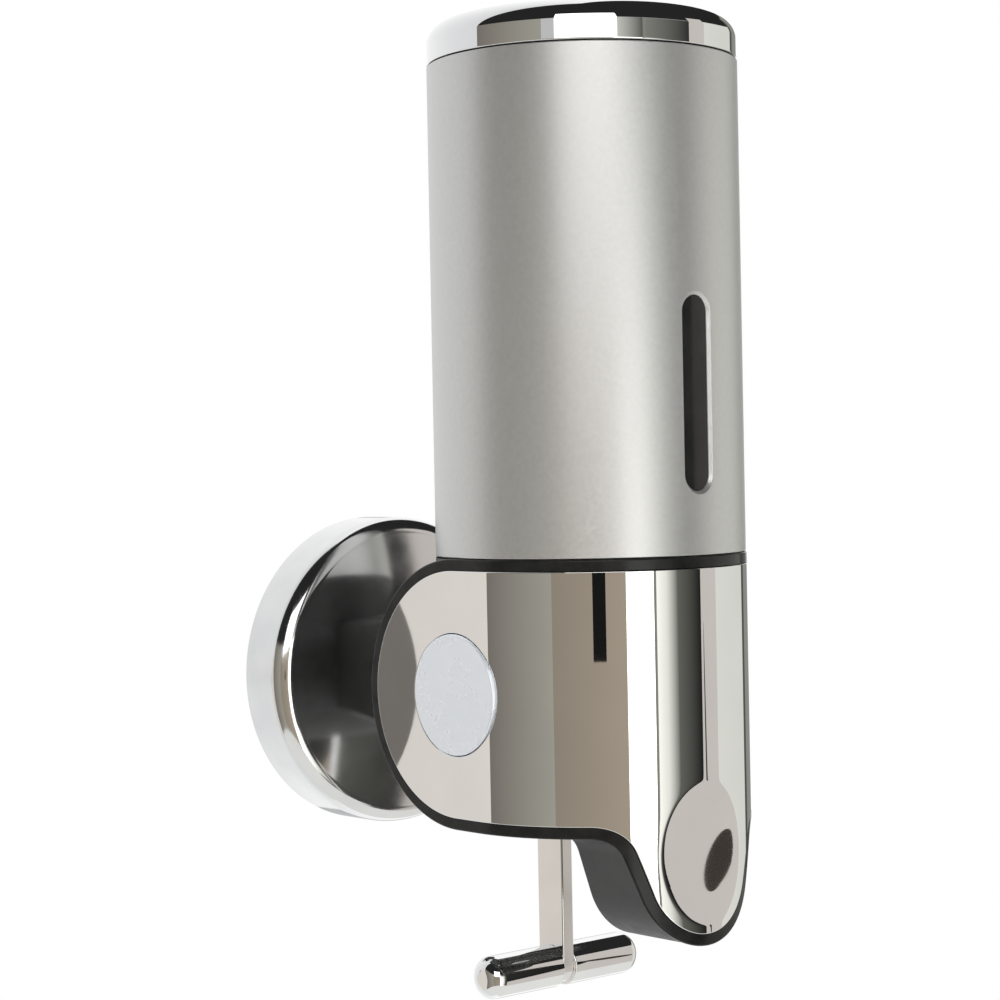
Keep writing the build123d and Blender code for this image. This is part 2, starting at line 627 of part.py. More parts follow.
# ---------------------------------------------------------------- pump
clip_high = DECK_BOTTOM
clip_low = clip_high - CLIP_THICKNESS
with BuildPart() as pump_barrel:
    add(ring(BARREL_RADIUS, BORE_RADIUS, BARREL_BOTTOM, INLET_BOTTOM, (0, PUMP_Y)))
    add(ring(BARREL_RADIUS, INLET_STALK_RADIUS + PRESS, INLET_BOTTOM, INLET_TOP, (0, PUMP_Y)))
    add(ring(BARREL_RADIUS, SOCKET_RADIUS, INLET_TOP, BARREL_TOP, (0, PUMP_Y)))
    add(ring(BARREL_FLANGE_RADIUS, BARREL_RADIUS - CLIP_GROOVE, CHEEK_RADIUS,
             CHEEK_RADIUS + BARREL_FLANGE, (0, PUMP_Y)))
    add(ring(BARREL_RADIUS + CLIP_GROOVE, BARREL_RADIUS - CLIP_GROOVE, clip_low, clip_high,
             (0, PUMP_Y)), mode=Mode.SUBTRACT)
    with Locations((0, PUMP_Y, INLET_TOP)):
        with PolarLocations(INLET_HOLE_CIRCLE, 6):
            Hole(INLET_HOLE_RADIUS, depth=INLET_WALL)
save(pump_barrel.part, "pump_barrel")

with BuildPart() as barrel_clip:
    groove_radius = BARREL_RADIUS - CLIP_GROOVE + PRESS
    with BuildSketch(Plane.XY.offset(clip_low)):
        with Locations((0, PUMP_Y + BARREL_RADIUS / 2)):
            Rectangle(2 * CLIP_HALF_WIDTH, 2 * BARREL_RADIUS + CLIP_GROOVE)
        with Locations((0, PUMP_Y)):
            Circle(groove_radius, mode=Mode.SUBTRACT)
        with Locations((0, PUMP_Y - BARREL_RADIUS)):
            Rectangle(2 * groove_radius, 2 * BARREL_RADIUS, mode=Mode.SUBTRACT)
    extrude(amount=CLIP_THICKNESS)
save(barrel_clip.part, "barrel_clip")

with BuildPart() as inlet_valve:
    with Locations((0, PUMP_Y, INLET_BOTTOM)):
        Cylinder(INLET_FLAP_RADIUS, INLET_FLAP, align=(Align.CENTER, Align.CENTER, Align.MAX))
        Cylinder(INLET_STALK_RADIUS, INLET_WALL + SEAL_HEIGHT,
                 align=(Align.CENTER, Align.CENTER, Align.MIN))
    with Locations((0, PUMP_Y, INLET_TOP)):
        Cone(INLET_BARB_RADIUS, INLET_STALK_RADIUS, SEAL_HEIGHT,
             align=(Align.CENTER, Align.CENTER, Align.MIN))
save(inlet_valve.part, "inlet_valve")

spring_low = PISTON_TOP + SPRING_WIRE / 2 + SLIP
spring_high = INLET_BOTTOM - SPRING_WIRE / 2 - SLIP
with BuildPart() as pump_spring:
    with BuildLine():
        coil = Helix((spring_high - spring_low) / SPRING_TURNS, spring_high - spring_low,
                     SPRING_RADIUS, center=(0, PUMP_Y, spring_low))
    with BuildSketch(Plane(origin=coil @ 0, z_dir=coil % 0)):
        Circle(SPRING_WIRE / 2)
    sweep(path=coil)
save(pump_spring.part, "pump_spring")

seal_mid = (PISTON_TOP + PISTON_BOTTOM) / 2
seal_bounds = (seal_mid - PISTON_SEAL_HEIGHT / 2, seal_mid + PISTON_SEAL_HEIGHT / 2)
seal_inner = BORE_RADIUS - PISTON_SEAL_DEPTH
with BuildPart() as piston_stem:
    add(ring(BORE_RADIUS - PISTON_CLEARANCE, STEM_BORE, PISTON_BOTTOM, PISTON_TOP, (0, PUMP_Y)))
    add(ring(BORE_RADIUS, seal_inner, *seal_bounds, (0, PUMP_Y)), mode=Mode.SUBTRACT)
    add(ring(STEM_RADIUS, STEM_BORE, NOZZLE_TOP - NOZZLE_SOCKET, PISTON_BOTTOM, (0, PUMP_Y)))
save(piston_stem.part, "piston_stem")

save(ring(BORE_RADIUS - SLIP, seal_inner + PRESS, *seal_bounds, (0, PUMP_Y)), "piston_seal")
save(ring(BORE_RADIUS - PRESS, STEM_RADIUS + SLIP, BARREL_BOTTOM, GLAND_TOP, (0, PUMP_Y)),
     "barrel_gland")
save(ring(COLLAR_RADIUS, STEM_RADIUS + PRESS, COLLAR_BOTTOM, COLLAR_BOTTOM + COLLAR_THICKNESS,
          (0, PUMP_Y)), "lift_collar")

with BuildPart() as outlet_nozzle:
    with Locations((0, PUMP_Y, NOZZLE_BOTTOM)):
        Cylinder(NOZZLE_RADIUS, NOZZLE_LENGTH, align=(Align.CENTER, Align.CENTER, Align.MIN))
    chamfer(outlet_nozzle.edges().group_by(Axis.Z)[0], length=NOZZLE_CHAMFER)
    with Locations((0, PUMP_Y, NOZZLE_TOP)):
        Hole(STEM_RADIUS + PRESS, depth=NOZZLE_SOCKET)
        Hole(NOZZLE_BORE, depth=NOZZLE_LENGTH)
save(outlet_nozzle.part, "outlet_nozzle")

valve_radius = NOZZLE_BORE - PRESS
valve_top = NOZZLE_TOP - NOZZLE_SOCKET
with BuildPart() as outlet_valve:
    with BuildSketch(Plane.XY.offset(valve_top)):
        with Locations((0, PUMP_Y)):
            Circle(valve_radius)
    extrude(amount=-INLET_FLAP)
    with BuildSketch(Plane.XY.offset(valve_top - INLET_FLAP)):
        with Locations((0, PUMP_Y)):
            Circle(DUCKBILL_NECK)
    with BuildSketch(Plane.XY.offset(valve_top - INLET_FLAP - DUCKBILL_LENGTH)):
        with Locations((0, PUMP_Y)):
            Rectangle(DUCKBILL_WIDTH, DUCKBILL_THICKNESS)
    loft()
    with BuildSketch(Plane.XY.offset(valve_top)):
        with Locations((0, PUMP_Y)):
            Rectangle(valve_radius, DUCKBILL_SLIT)
    extrude(amount=-2 * DUCKBILL_LENGTH, mode=Mode.SUBTRACT)
save(outlet_valve.part, "outlet_valve")

# ---------------------------------------------------------------- cap
cap_plane = Plane(origin=(0, AXIS_Y, CAP_BOTTOM), x_dir=(1, 0, 0), z_dir=(0, -1, 0))
cap_side = CAP_HEIGHT - CAP_EDGE_RADIUS - CAP_DOME
tube_axis = Axis((0, AXIS_Y, 0), (0, 0, 1))
with BuildPart() as cap_shell:
    with BuildSketch(cap_plane):
        with BuildLine():
            add(domed_profile(BODY_RADIUS, cap_side, CAP_EDGE_RADIUS, CAP_DOME))
        make_face()
    revolve(axis=tube_axis)
    with BuildSketch(cap_plane):
        with BuildLine():
            add(domed_profile(BODY_RADIUS - CAP_WALL, cap_side, CAP_EDGE_RADIUS - CAP_WALL,
                              CAP_DOME))
        make_face()
    revolve(axis=tube_axis, mode=Mode.SUBTRACT)
save(cap_shell.part, "cap_shell")

liner_radius = BODY_RADIUS - CAP_WALL - PRESS
liner_low = RESERVOIR_TOP + SEAL_HEIGHT + SLIP
with BuildPart() as cap_liner:
    add(ring(liner_radius, liner_radius - RESERVOIR_WALL, liner_low, CAP_BOTTOM + cap_side,
             (0, AXIS_Y)))
    with BuildSketch(Plane.XY.offset(liner_low)):
        with Locations((0, AXIS_Y)):
            Circle(liner_radius)
    extrude(amount=RESERVOIR_WALL)
save(cap_liner.part, "cap_liner")

save(ring(RESERVOIR_RADIUS, RESERVOIR_RADIUS - RESERVOIR_WALL, RESERVOIR_TOP + SLIP, liner_low,
          (0, AXIS_Y)), "mouth_seal")

# ---------------------------------------------------------------- lever
hub_half = HUB_WIDTH / 2
bush_outer = PIVOT_RADIUS + SLIP + BUSH_WALL
prong_inner = STEM_RADIUS + 2 * GAP
prong_top = PRONG_TIP_RADIUS - PRONG_TIP_DROP
strip_half = STRIP_THICKNESS / 2

save(cross_tube(PIVOT_RADIUS, 0, -boss_end, boss_end, CHEEK_Y, 0), "pivot_pin")
for side, name in ((-1, "pivot_spacer_left"), (1, "pivot_spacer_right")):
    low, high = sorted((side * (hub_half + GAP), side * (BOSS_FACE - SLIP)))
    save(cross_tube(bush_outer, PIVOT_RADIUS + PRESS, low, high, CHEEK_Y, 0), name)
save(cross_tube(bush_outer, PIVOT_RADIUS + SLIP, -hub_half, hub_half, CHEEK_Y, 0), "lever_bush")

with BuildPart() as lever_yoke:
    add(cross_tube(HUB_RADIUS, 0, -hub_half, hub_half, CHEEK_Y, 0))
    for side in (-1, 1):
        with BuildSketch(Plane.YZ.offset(side * (prong_inner + PRONG_WIDTH / 2))):
            with Locations((CHEEK_Y, prong_top - PRONG_ROOT_RADIUS)):
                Circle(PRONG_ROOT_RADIUS)
            with Locations((PUMP_Y, prong_top - PRONG_TIP_RADIUS)):
                Circle(PRONG_TIP_RADIUS)
            make_hull()
        extrude(amount=PRONG_WIDTH / 2, both=True)
    with BuildSketch(Plane.YZ):
        with Locations((STRIP_Y, -TAIL_DROP / 2)):
            Rectangle(STRIP_WIDTH + 2 * TAIL_BORDER, TAIL_DROP)
    extrude(amount=TAIL_WIDTH / 2, both=True)
    add(cross_tube(bush_outer + PRESS, 0, -BOSS_FACE, BOSS_FACE, CHEEK_Y, 0),
        mode=Mode.SUBTRACT)
    with BuildSketch(Plane.YZ):
        with Locations((STRIP_Y, -(STRIP_TOP_DROP + TAIL_DROP) / 2)):
            Rectangle(STRIP_WIDTH + 2 * PRESS, TAIL_DROP - STRIP_TOP_DROP + 2 * PRESS)
    extrude(amount=strip_half + PRESS, both=True, mode=Mode.SUBTRACT)
    for drop in RIVET_DROPS:
        add(cross_tube(RIVET_RADIUS + PRESS, 0, -hub_half, hub_half, STRIP_Y, -drop),
            mode=Mode.SUBTRACT)
save(lever_yoke.part, "lever_yoke")

with BuildPart() as lever_strip:
    with BuildSketch(Plane.YZ):
        with Locations((STRIP_Y, -(STRIP_TOP_DROP + HANDLE_DROP) / 2)):
            Rectangle(STRIP_WIDTH, HANDLE_DROP - STRIP_TOP_DROP)
        with Locations((STRIP_Y, -HANDLE_DROP)):
            Circle(STRIP_WIDTH / 2)
            Circle(STUD_RADIUS + PRESS, mode=Mode.SUBTRACT)
        for drop in RIVET_DROPS:
            with Locations((STRIP_Y, -drop)):
                Circle(RIVET_RADIUS + PRESS, mode=Mode.SUBTRACT)
    extrude(amount=strip_half, both=True)
save(lever_strip.part, "lever_strip")

rivet_end = TAIL_WIDTH / 2
with BuildPart() as lever_rivets:
    for drop in RIVET_DROPS:
        add(cross_tube(RIVET_RADIUS, 0, -rivet_end, rivet_end, STRIP_Y, -drop))
        for low in (-rivet_end - RIVET_RADIUS / 2, rivet_end):
            add(cross_tube(RIVET_HEAD_RADIUS, 0, low, low + RIVET_RADIUS / 2, STRIP_Y, -drop))
save(lever_rivets.part, "lever_rivets")

save(cross_tube(STUD_RADIUS, 0, -STUD_LENGTH / 2, STUD_LENGTH / 2, STRIP_Y, -HANDLE_DROP),
     "handle_stud")
for side, name in ((-1, "handle_grip_left"), (1, "handle_grip_right")):
    low, high = sorted((side * strip_half, side * HANDLE_LENGTH / 2))
    with BuildPart() as handle_grip:
        add(cross_tube(HANDLE_RADIUS, 0, low, high, STRIP_Y, -HANDLE_DROP))
        end_face = handle_grip.faces().sort_by(Axis.X)[0 if side < 0 else -1]
        fillet(end_face.edges(), radius=HANDLE_EDGE_RADIUS)
        bore_low, bore_high = sorted((0, side * (STUD_LENGTH / 2 + PRESS)))
        add(cross_tube(STUD_RADIUS + PRESS, 0, bore_low, bore_high, STRIP_Y, -HANDLE_DROP),
            mode=Mode.SUBTRACT)
    save(handle_grip.part, name)

print("pivot to pump", CHEEK_Y - PUMP_Y, "mm; handle travel", LEVER_TRAVEL, "degrees")
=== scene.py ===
import json
from math import asin, atan2, cos, degrees, hypot, pi, radians, sin, sqrt

import bpy
import numpy as np
from mathutils import Matrix, Vector
from mathutils.geometry import delaunay_2d_cdt


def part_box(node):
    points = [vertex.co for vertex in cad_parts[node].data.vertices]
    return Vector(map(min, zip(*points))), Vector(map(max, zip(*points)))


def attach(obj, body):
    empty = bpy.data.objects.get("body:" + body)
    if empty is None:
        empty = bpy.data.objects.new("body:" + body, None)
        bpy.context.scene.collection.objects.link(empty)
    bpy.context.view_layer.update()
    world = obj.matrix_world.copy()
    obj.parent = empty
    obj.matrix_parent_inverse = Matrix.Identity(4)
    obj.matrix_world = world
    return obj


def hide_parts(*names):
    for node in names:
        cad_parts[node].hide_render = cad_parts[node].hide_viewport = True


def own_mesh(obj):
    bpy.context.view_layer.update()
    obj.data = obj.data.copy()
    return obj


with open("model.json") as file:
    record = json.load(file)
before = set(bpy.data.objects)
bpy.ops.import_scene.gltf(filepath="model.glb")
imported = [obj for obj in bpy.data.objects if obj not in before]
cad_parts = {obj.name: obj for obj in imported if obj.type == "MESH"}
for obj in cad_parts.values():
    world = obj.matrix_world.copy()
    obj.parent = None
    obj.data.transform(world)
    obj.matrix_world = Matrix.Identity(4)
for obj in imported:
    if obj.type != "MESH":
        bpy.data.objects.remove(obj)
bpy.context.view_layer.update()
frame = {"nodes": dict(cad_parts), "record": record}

MM = 0.001

# ------------------------------------------------------------------ sizes from the frame
tube_low, tube_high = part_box("tube_shell")
body_low, body_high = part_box("housing_body")
plate_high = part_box("front_plate")[1]
cap_low, cap_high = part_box("cap_shell")
rose_low, rose_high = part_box("wall_rose")
disc_low, disc_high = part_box("side_disc_right")
lens_low, lens_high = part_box("window_lens")
strip_low, strip_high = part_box("lever_strip")
grip_low, grip_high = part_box("handle_grip_right")

TUBE_RADIUS = tube_high.x
AXIS_Y = (tube_low.y + tube_high.y) / 2
PIVOT_Y = (disc_low.y + disc_high.y) / 2
CHEEK_RADIUS = body_high.z
PLATE_RADIUS = plate_high.x
PLATE_INSET = body_high.z - plate_high.z
NOSE_BOTTOM = body_low.z

# shapes that the boxes don't tell
PLATE_THICKNESS = 1.8 * MM
NOSE_TIP_RADIUS = 17.4 * MM      # round lower end of the black rim
NOSE_TAPER = radians(20)
NOSE_SHOULDER = 6.5 * MM         # radius of the rim where the underside meets the tongue
DISH_HALF_WIDTH = 12.3 * MM
DISH_HALF_HEIGHT = 16.0 * MM
DISH_CENTRE_Z = -35.5 * MM
DISH_SOFTNESS = 0.12 * MM        # rounding of the dish's edge
EDGE_STEP = 0.5 * MM             # spacing of points along an outline
WELD = 0.0002 * MM               # corners nearer than this are one


# ------------------------------------------------------------------ mesh building
class Shell:
    """Faces of one piece, each corner with its own surface direction."""

    def __init__(self):
        self.points, self.faces, self.normals = [], [], []
        self.count = 0

    def add(self, points, faces, normals):
        """points and normals are (n, 3); faces index them."""
        self.points.append(np.asarray(points, float))
        for face in faces:
            self.faces.append([self.count + i for i in face])
            self.normals.append([normals[i] for i in face])
        self.count += len(points)

    def add_grid(self, points, normals, closed=False):
        """points and normals are (rows, columns, 3)."""
        rows, columns = points.shape[:2]
        faces = []
        for i in range(rows - 1):
            for j in range(columns if closed else columns - 1):
                k = (j + 1) % columns
                faces.append((i * columns + j, i * columns + k,
                              (i + 1) * columns + k, (i + 1) * columns + j))
        self.add(points.reshape(-1, 3), faces, normals.reshape(-1, 3))

    def piece(self, name, material):
        """The finished object: doubles welded, faces turned to agree with their normals."""
        points = np.concatenate(self.points)
        keys = np.round(points / WELD).astype(np.int64)
        _, first, index = np.unique(keys, axis=0, return_index=True, return_inverse=True)
        index = index.reshape(-1)
        points = points[first]
        faces, normals = [], []
        for face, corner_normals in zip(self.faces, self.normals):
            ids, kept = [], []
            for i, normal in zip((index[i] for i in face), corner_normals):
                if i not in ids:
                    ids.append(int(i))
                    kept.append(normal)
            if len(ids) < 3:
                continue
            flat = sum((np.cross(points[ids[k]] - points[ids[0]], points[ids[k + 1]] - points[ids[0]])
                        for k in range(1, len(ids) - 1)), np.zeros(3))
            if flat @ sum(kept) < 0:
                ids.reverse()
                kept.reverse()
            faces.append(ids)
            normals.extend(kept)
        mesh = bpy.data.meshes.new(name)
        mesh.from_pydata([tuple(p) for p in points], [], faces)
        mesh.shade_smooth()
        mesh.normals_split_custom_set([tuple(n / np.linalg.norm(n)) for n in normals])
        mesh.materials.append(material)
        made = bpy.data.objects.new(name, mesh)
        bpy.context.scene.collection.objects.link(made)
        return made


AROUND = 288                     # points round a turned piece


def turned(shell, rows, origin, axis, count=AROUND):
    """Surface of revolution. Each row is (radius, height along the axis, tilt of the surface)."""
    axis = np.array(axis, float)
    across = np.array((0.0, 0.0, 1.0)) if abs(axis[2]) < 0.5 else np.array((1.0, 0.0, 0.0))
    other = np.cross(axis, across)
    turn = np.arange(count) * 2 * pi / count
    spoke = np.cos(turn)[:, None] * across + np.sin(turn)[:, None] * other
    for start, end in zip(rows, rows[1:]):
        if hypot(start[0] - end[0], start[1] - end[1]) < 1e-9:
            continue
        points = np.stack([np.array(origin) + r * spoke + h * axis for r, h, _ in (start, end)])
        normals = np.stack([cos(t) * spoke + sin(t) * axis for _, _, t in (start, end)])
        shell.add_grid(points, normals, closed=True)


def bend(radius, centre_r, centre_h, tilt_from, tilt_to, steps=8):
    """Rows of a rounded edge between two surface tilts, in degrees."""
    tilts = [radians(tilt_from + (tilt_to - tilt_from) * i / steps) for i in range(steps + 1)]
    return [(centre_r + radius * cos(t), centre_h + radius * sin(t), t) for t in tilts]


def hollow_bend(radius, centre_r, centre_h, tilt_from, tilt_to, steps=8):
    """Rows of the inside of a rounded edge: the surface faces the bend's centre."""
    tilts = [radians(tilt_from + (tilt_to - tilt_from) * i / steps) for i in range(steps + 1)]
    return [(centre_r + radius * cos(t), centre_h + radius * sin(t), t + pi) for t in tilts]


def arc(centre, radius, start, end, step=EDGE_STEP):
    """Points along an arc between two angles in degrees, the last one left out."""
    count = max(2, round(abs(radians(end - start)) * radius / step))
    turn = np.radians(start + (end - start) * np.arange(count) / count)
    return np.column_stack([centre[0] + radius * np.cos(turn), centre[1] + radius * np.sin(turn)])


def line(start, end, step=EDGE_STEP):
    """Points along a straight stretch, the last one left out."""
    start, end = np.array(start, float), np.array(end, float)
    count = max(1, round(np.linalg.norm(end - start) / step))
    return start + (end - start) * (np.arange(count) / count)[:, None]


def slot_loop(centre, length, width, step=EDGE_STEP):
    """Upright slot with round ends."""
    r, reach = width / 2, (length - width) / 2
    up, down = (centre[0], centre[1] + reach), (centre[0], centre[1] - reach)
    return np.concatenate([
        arc(up, r, 0, 180, step), line((up[0] - r, up[1]), (down[0] - r, down[1]), step),
        arc(down, r, 180, 360, step), line((down[0] + r, down[1]), (up[0] + r, up[1]), step)])


def box_loop(half_width, half_height, corner, step=EDGE_STEP):
    """Rectangle with round corners about the origin."""
    w, h = half_width - corner, half_height - corner
    points = []
    for cx, cy, start, far in ((w, h, 0, (-w, half_height)), (-w, h, 90, (-half_width, -h)),
                               (-w, -h, 180, (w, -half_height)), (w, -h, 270, (half_width, h))):
        points.append(arc((cx, cy), corner, start, start + 90, step))
        turn = radians(start + 90)
        near = (cx + corner * cos(turn), cy + corner * sin(turn))
        points.append(line(near, far, step))
    return np.concatenate(points)


def outward(loop, hole=False):
    """Direction away from the material at each point of a closed outline."""
    ahead, behind = np.roll(loop, -1, 0), np.roll(loop, 1, 0)
    along = ahead - behind
    along /= np.linalg.norm(along, axis=1)[:, None]
    side = np.column_stack([along[:, 1], -along[:, 0]])
    area = np.sum(loop[:, 0] * ahead[:, 1] - loop[:, 1] * ahead[:, 0])
    return side if (area > 0) != hole else -side


def inside(points, loop):
    """True for the points inside a closed outline."""
    x, y = points[:, 0:1], points[:, 1:2]
    a, b = loop, np.roll(loop, -1, 0)
    crosses = (a[:, 1] > y) != (b[:, 1] > y)
    rise = np.where(np.abs(b[:, 1] - a[:, 1]) < 1e-12, 1e-12, b[:, 1] - a[:, 1])
    at = a[:, 0] + (y - a[:, 1]) * (b[:, 0] - a[:, 0]) / rise
    return (np.sum(crosses & (x < at), axis=1) % 2).astype(bool)


def clear_of(points, others, room):
    """The points that lie further than room from all the others."""
    kept = np.ones(len(points), bool)
    for block in np.array_split(others, max(1, len(others) // 200)):
        gaps = np.linalg.norm(points[:, None] - block[None], axis=2)
        kept &= gaps.min(axis=1) > room
    return points[kept]


def directions(surface, spots):
    """Outer surface directions of a mapped sheet, by small steps along it."""
    step = 0.01 * MM
    du, dv = np.array((step, 0.0)), np.array((0.0, step))
    cross = np.cross(surface(spots + du) - surface(spots - du),
                     surface(spots + dv) - surface(spots - dv))
    return cross / np.linalg.norm(cross, axis=1)[:, None]


def rounded(radius, thickness, steps=4):
    """Edge profile: rounded front corner, square back. Rows are (outset, depth, tilt)."""
    rows = [(-radius * (1 - sin(t)), radius * (1 - cos(t)), t)
            for t in (pi / 2 * i / steps for i in range(steps + 1))]
    return rows + [(0, thickness, pi / 2), (0, thickness, pi), (-radius, thickness, pi)]


def pillowed(radius, thickness, steps=4):
    """Edge profile rounded at the front and at the back."""
    front = [(-radius * (1 - sin(t)), radius * (1 - cos(t)), t)
             for t in (pi / 2 * i / steps for i in range(steps + 1))]
    return front + [(o, thickness - d, pi - t) for o, d, t in reversed(front)]


def sloped(width, drop, soft, thickness):
    """Edge profile with a slope before the wall."""
    t = atan2(drop, width)
    return [(-width - soft, 0, 0), (-width, 0.1 * soft, 0.5 * t), (-width + soft, drop * soft / width, t),
            (-soft, drop - drop * soft / width, t), (0, drop + 0.4 * soft, pi / 2),
            (0, thickness, pi / 2), (0, thickness, pi), (-width - soft, thickness, pi)]


def panel(shell, surface, outer, holes=(), spacing=1.0 * MM, extra=None):
    """Sheet of even thickness laid on a mapped surface. outer and holes are (outline, profile)."""
    loops = [(outer[0], outward(outer[0]), outer[1])]
    loops += [(loop, outward(loop, hole=True), profile) for loop, profile in holes]
    depth = outer[1][-1][1] if outer[1] else holes[0][1][-1][1]
    edges, rings = [], []
    for loop, out, profile in loops:
        rings.append(loop + out * profile[0][0] if profile else loop)
        first = sum(len(r) for r in rings[:-1])
        edges += [(first + i, first + (i + 1) % len(loop)) for i in range(len(loop))]
    low, high = rings[0].min(0), rings[0].max(0)
    rows = np.arange(low[1] + spacing / 2, high[1], spacing * 0.866)
    grid = np.concatenate([np.column_stack([
        np.arange(low[0] + spacing * (0.25 + 0.5 * (k % 2)), high[0], spacing),
        np.full(len(np.arange(low[0] + spacing * (0.25 + 0.5 * (k % 2)), high[0], spacing)), v)])
        for k, v in enumerate(rows)])
    border = np.concatenate(rings)

    def within(points):
        keep = inside(points, rings[0])
        for ring in rings[1:]:
            keep &= ~inside(points, ring)
        return keep

    seeds = [border]
    if extra is not None:
        seeds.append(clear_of(extra[within(extra)], border, 0.1 * MM))
    grid = clear_of(grid[within(grid)], np.concatenate(seeds), 0.5 * spacing)
    spots = np.concatenate(seeds + [grid])
    made = delaunay_2d_cdt([Vector(p * 1000) for p in spots], edges, [], 1, 1e-6)
    spots = np.array([tuple(v) for v in made[0]]) / 1000
    triangles = np.array(made[2])
    triangles = triangles[within(spots[triangles].mean(axis=1))]
    normals = directions(surface, spots)
    points = surface(spots)
    shell.add(points, triangles, normals)
    shell.add(points - normals * depth, triangles[:, ::-1], -normals)
    for loop, out, profile in loops:
        if not profile:
            continue
        base_normal = directions(surface, loop)
        aside = surface(loop + out * 0.01 * MM) - surface(loop - out * 0.01 * MM)
        aside /= np.linalg.norm(aside, axis=1)[:, None]

        def ring_at(row):
            spot = loop + out * row[0]
            place = surface(spot) - directions(surface, spot) * row[1]
            return place, cos(row[2]) * base_normal + sin(row[2]) * aside

        for start, end in zip(profile, profile[1:]):
            if hypot(start[0] - end[0], start[1] - end[1]) < 1e-9:
                continue
            (p0, n0), (p1, n1) = ring_at(start), ring_at(end)
            shell.add_grid(np.stack([p0, p1]), np.stack([n0, n1]), closed=True)


def wrap(radius):
    """Surface round the front: straight cheeks joined by a half circle, spread out flat."""
    quarter = pi / 2 * radius

    def surface(spots):
        s, z = spots[:, 0], spots[:, 1]
        turn = np.clip(s, -quarter, quarter) / radius
        beyond = np.maximum(np.abs(s) - quarter, 0)
        return np.column_stack([radius * np.sin(turn), AXIS_Y - radius * np.cos(turn) + beyond, z])
    return surface


def spread(radius, x):
    """Distance along the wrap of a point of the front view."""
    return radius * np.arcsin(np.clip(x / radius, -1, 1))


def dish_surface(radius):
    """The wrap with the shallow dish scooped out of the nose."""
    plain = wrap(radius)
    sag = radius - sqrt(radius ** 2 - DISH_HALF_WIDTH ** 2)
    scoop = (DISH_HALF_HEIGHT ** 2 + sag ** 2) / (2 * sag)
    centre_y = AXIS_Y - radius + sag - scoop

    def scooped_y(z):
        return centre_y + np.sqrt(np.maximum(scoop ** 2 - (z - DISH_CENTRE_Z) ** 2, 0))

    def surface(spots):
        points = plain(spots)
        front = points[:, 1] < AXIS_Y
        a, b = points[:, 1], scooped_y(points[:, 2])
        points[:, 1] = np.where(front, (a + b + np.sqrt((a - b) ** 2 + DISH_SOFTNESS ** 2)) / 2, a)
        return points

    turn = np.radians(np.arange(0, 360, 0.6))
    z = DISH_CENTRE_Z + DISH_HALF_HEIGHT * np.sin(turn)
    reach = np.sqrt(np.maximum(radius ** 2 - (scooped_y(z) - AXIS_Y) ** 2, 0))
    rim = np.column_stack([spread(radius, reach * np.sign(np.cos(turn))), z])
    return surface, rim


def front_outline(radius, inset):
    """Outline of the chrome plate or of the black rim, spread out flat."""
    half = CHEEK_RADIUS - inset
    tip_radius = NOSE_TIP_RADIUS - inset
    tip_z = NOSE_BOTTOM + NOSE_TIP_RADIUS
    shoulder_radius = NOSE_SHOULDER + inset
    rise = inset - CHEEK_RADIUS - shoulder_radius - tip_z
    run = (tip_radius + shoulder_radius + rise * sin(NOSE_TAPER)) / cos(NOSE_TAPER)
    shoulder = (run, tip_z + rise)
    lean = (cos(NOSE_TAPER), -sin(NOSE_TAPER))
    taper = degrees(NOSE_TAPER)
    tongue = np.concatenate([
        arc(shoulder, shoulder_radius, 90, 180 - taper),
        line((shoulder[0] - lean[0] * shoulder_radius, shoulder[1] - lean[1] * shoulder_radius),
             (lean[0] * tip_radius, tip_z + lean[1] * tip_radius)),
        arc((0, tip_z), tip_radius, -taper, -90)])
    tongue[:, 0] = spread(radius, tongue[:, 0])
    cheek_s = pi / 2 * radius + PIVOT_Y - AXIS_Y
    right = np.concatenate([
        line((0, half), (cheek_s, half)),
        arc((cheek_s, 0), half, 90, -90),
        line((cheek_s, -half), (spread(radius, shoulder[0]), -half)),
        tongue, [(0, tip_z - tip_radius)]])
    left = right[1:-1][::-1] * (-1, 1)
    return np.concatenate([right, left]), cheek_s


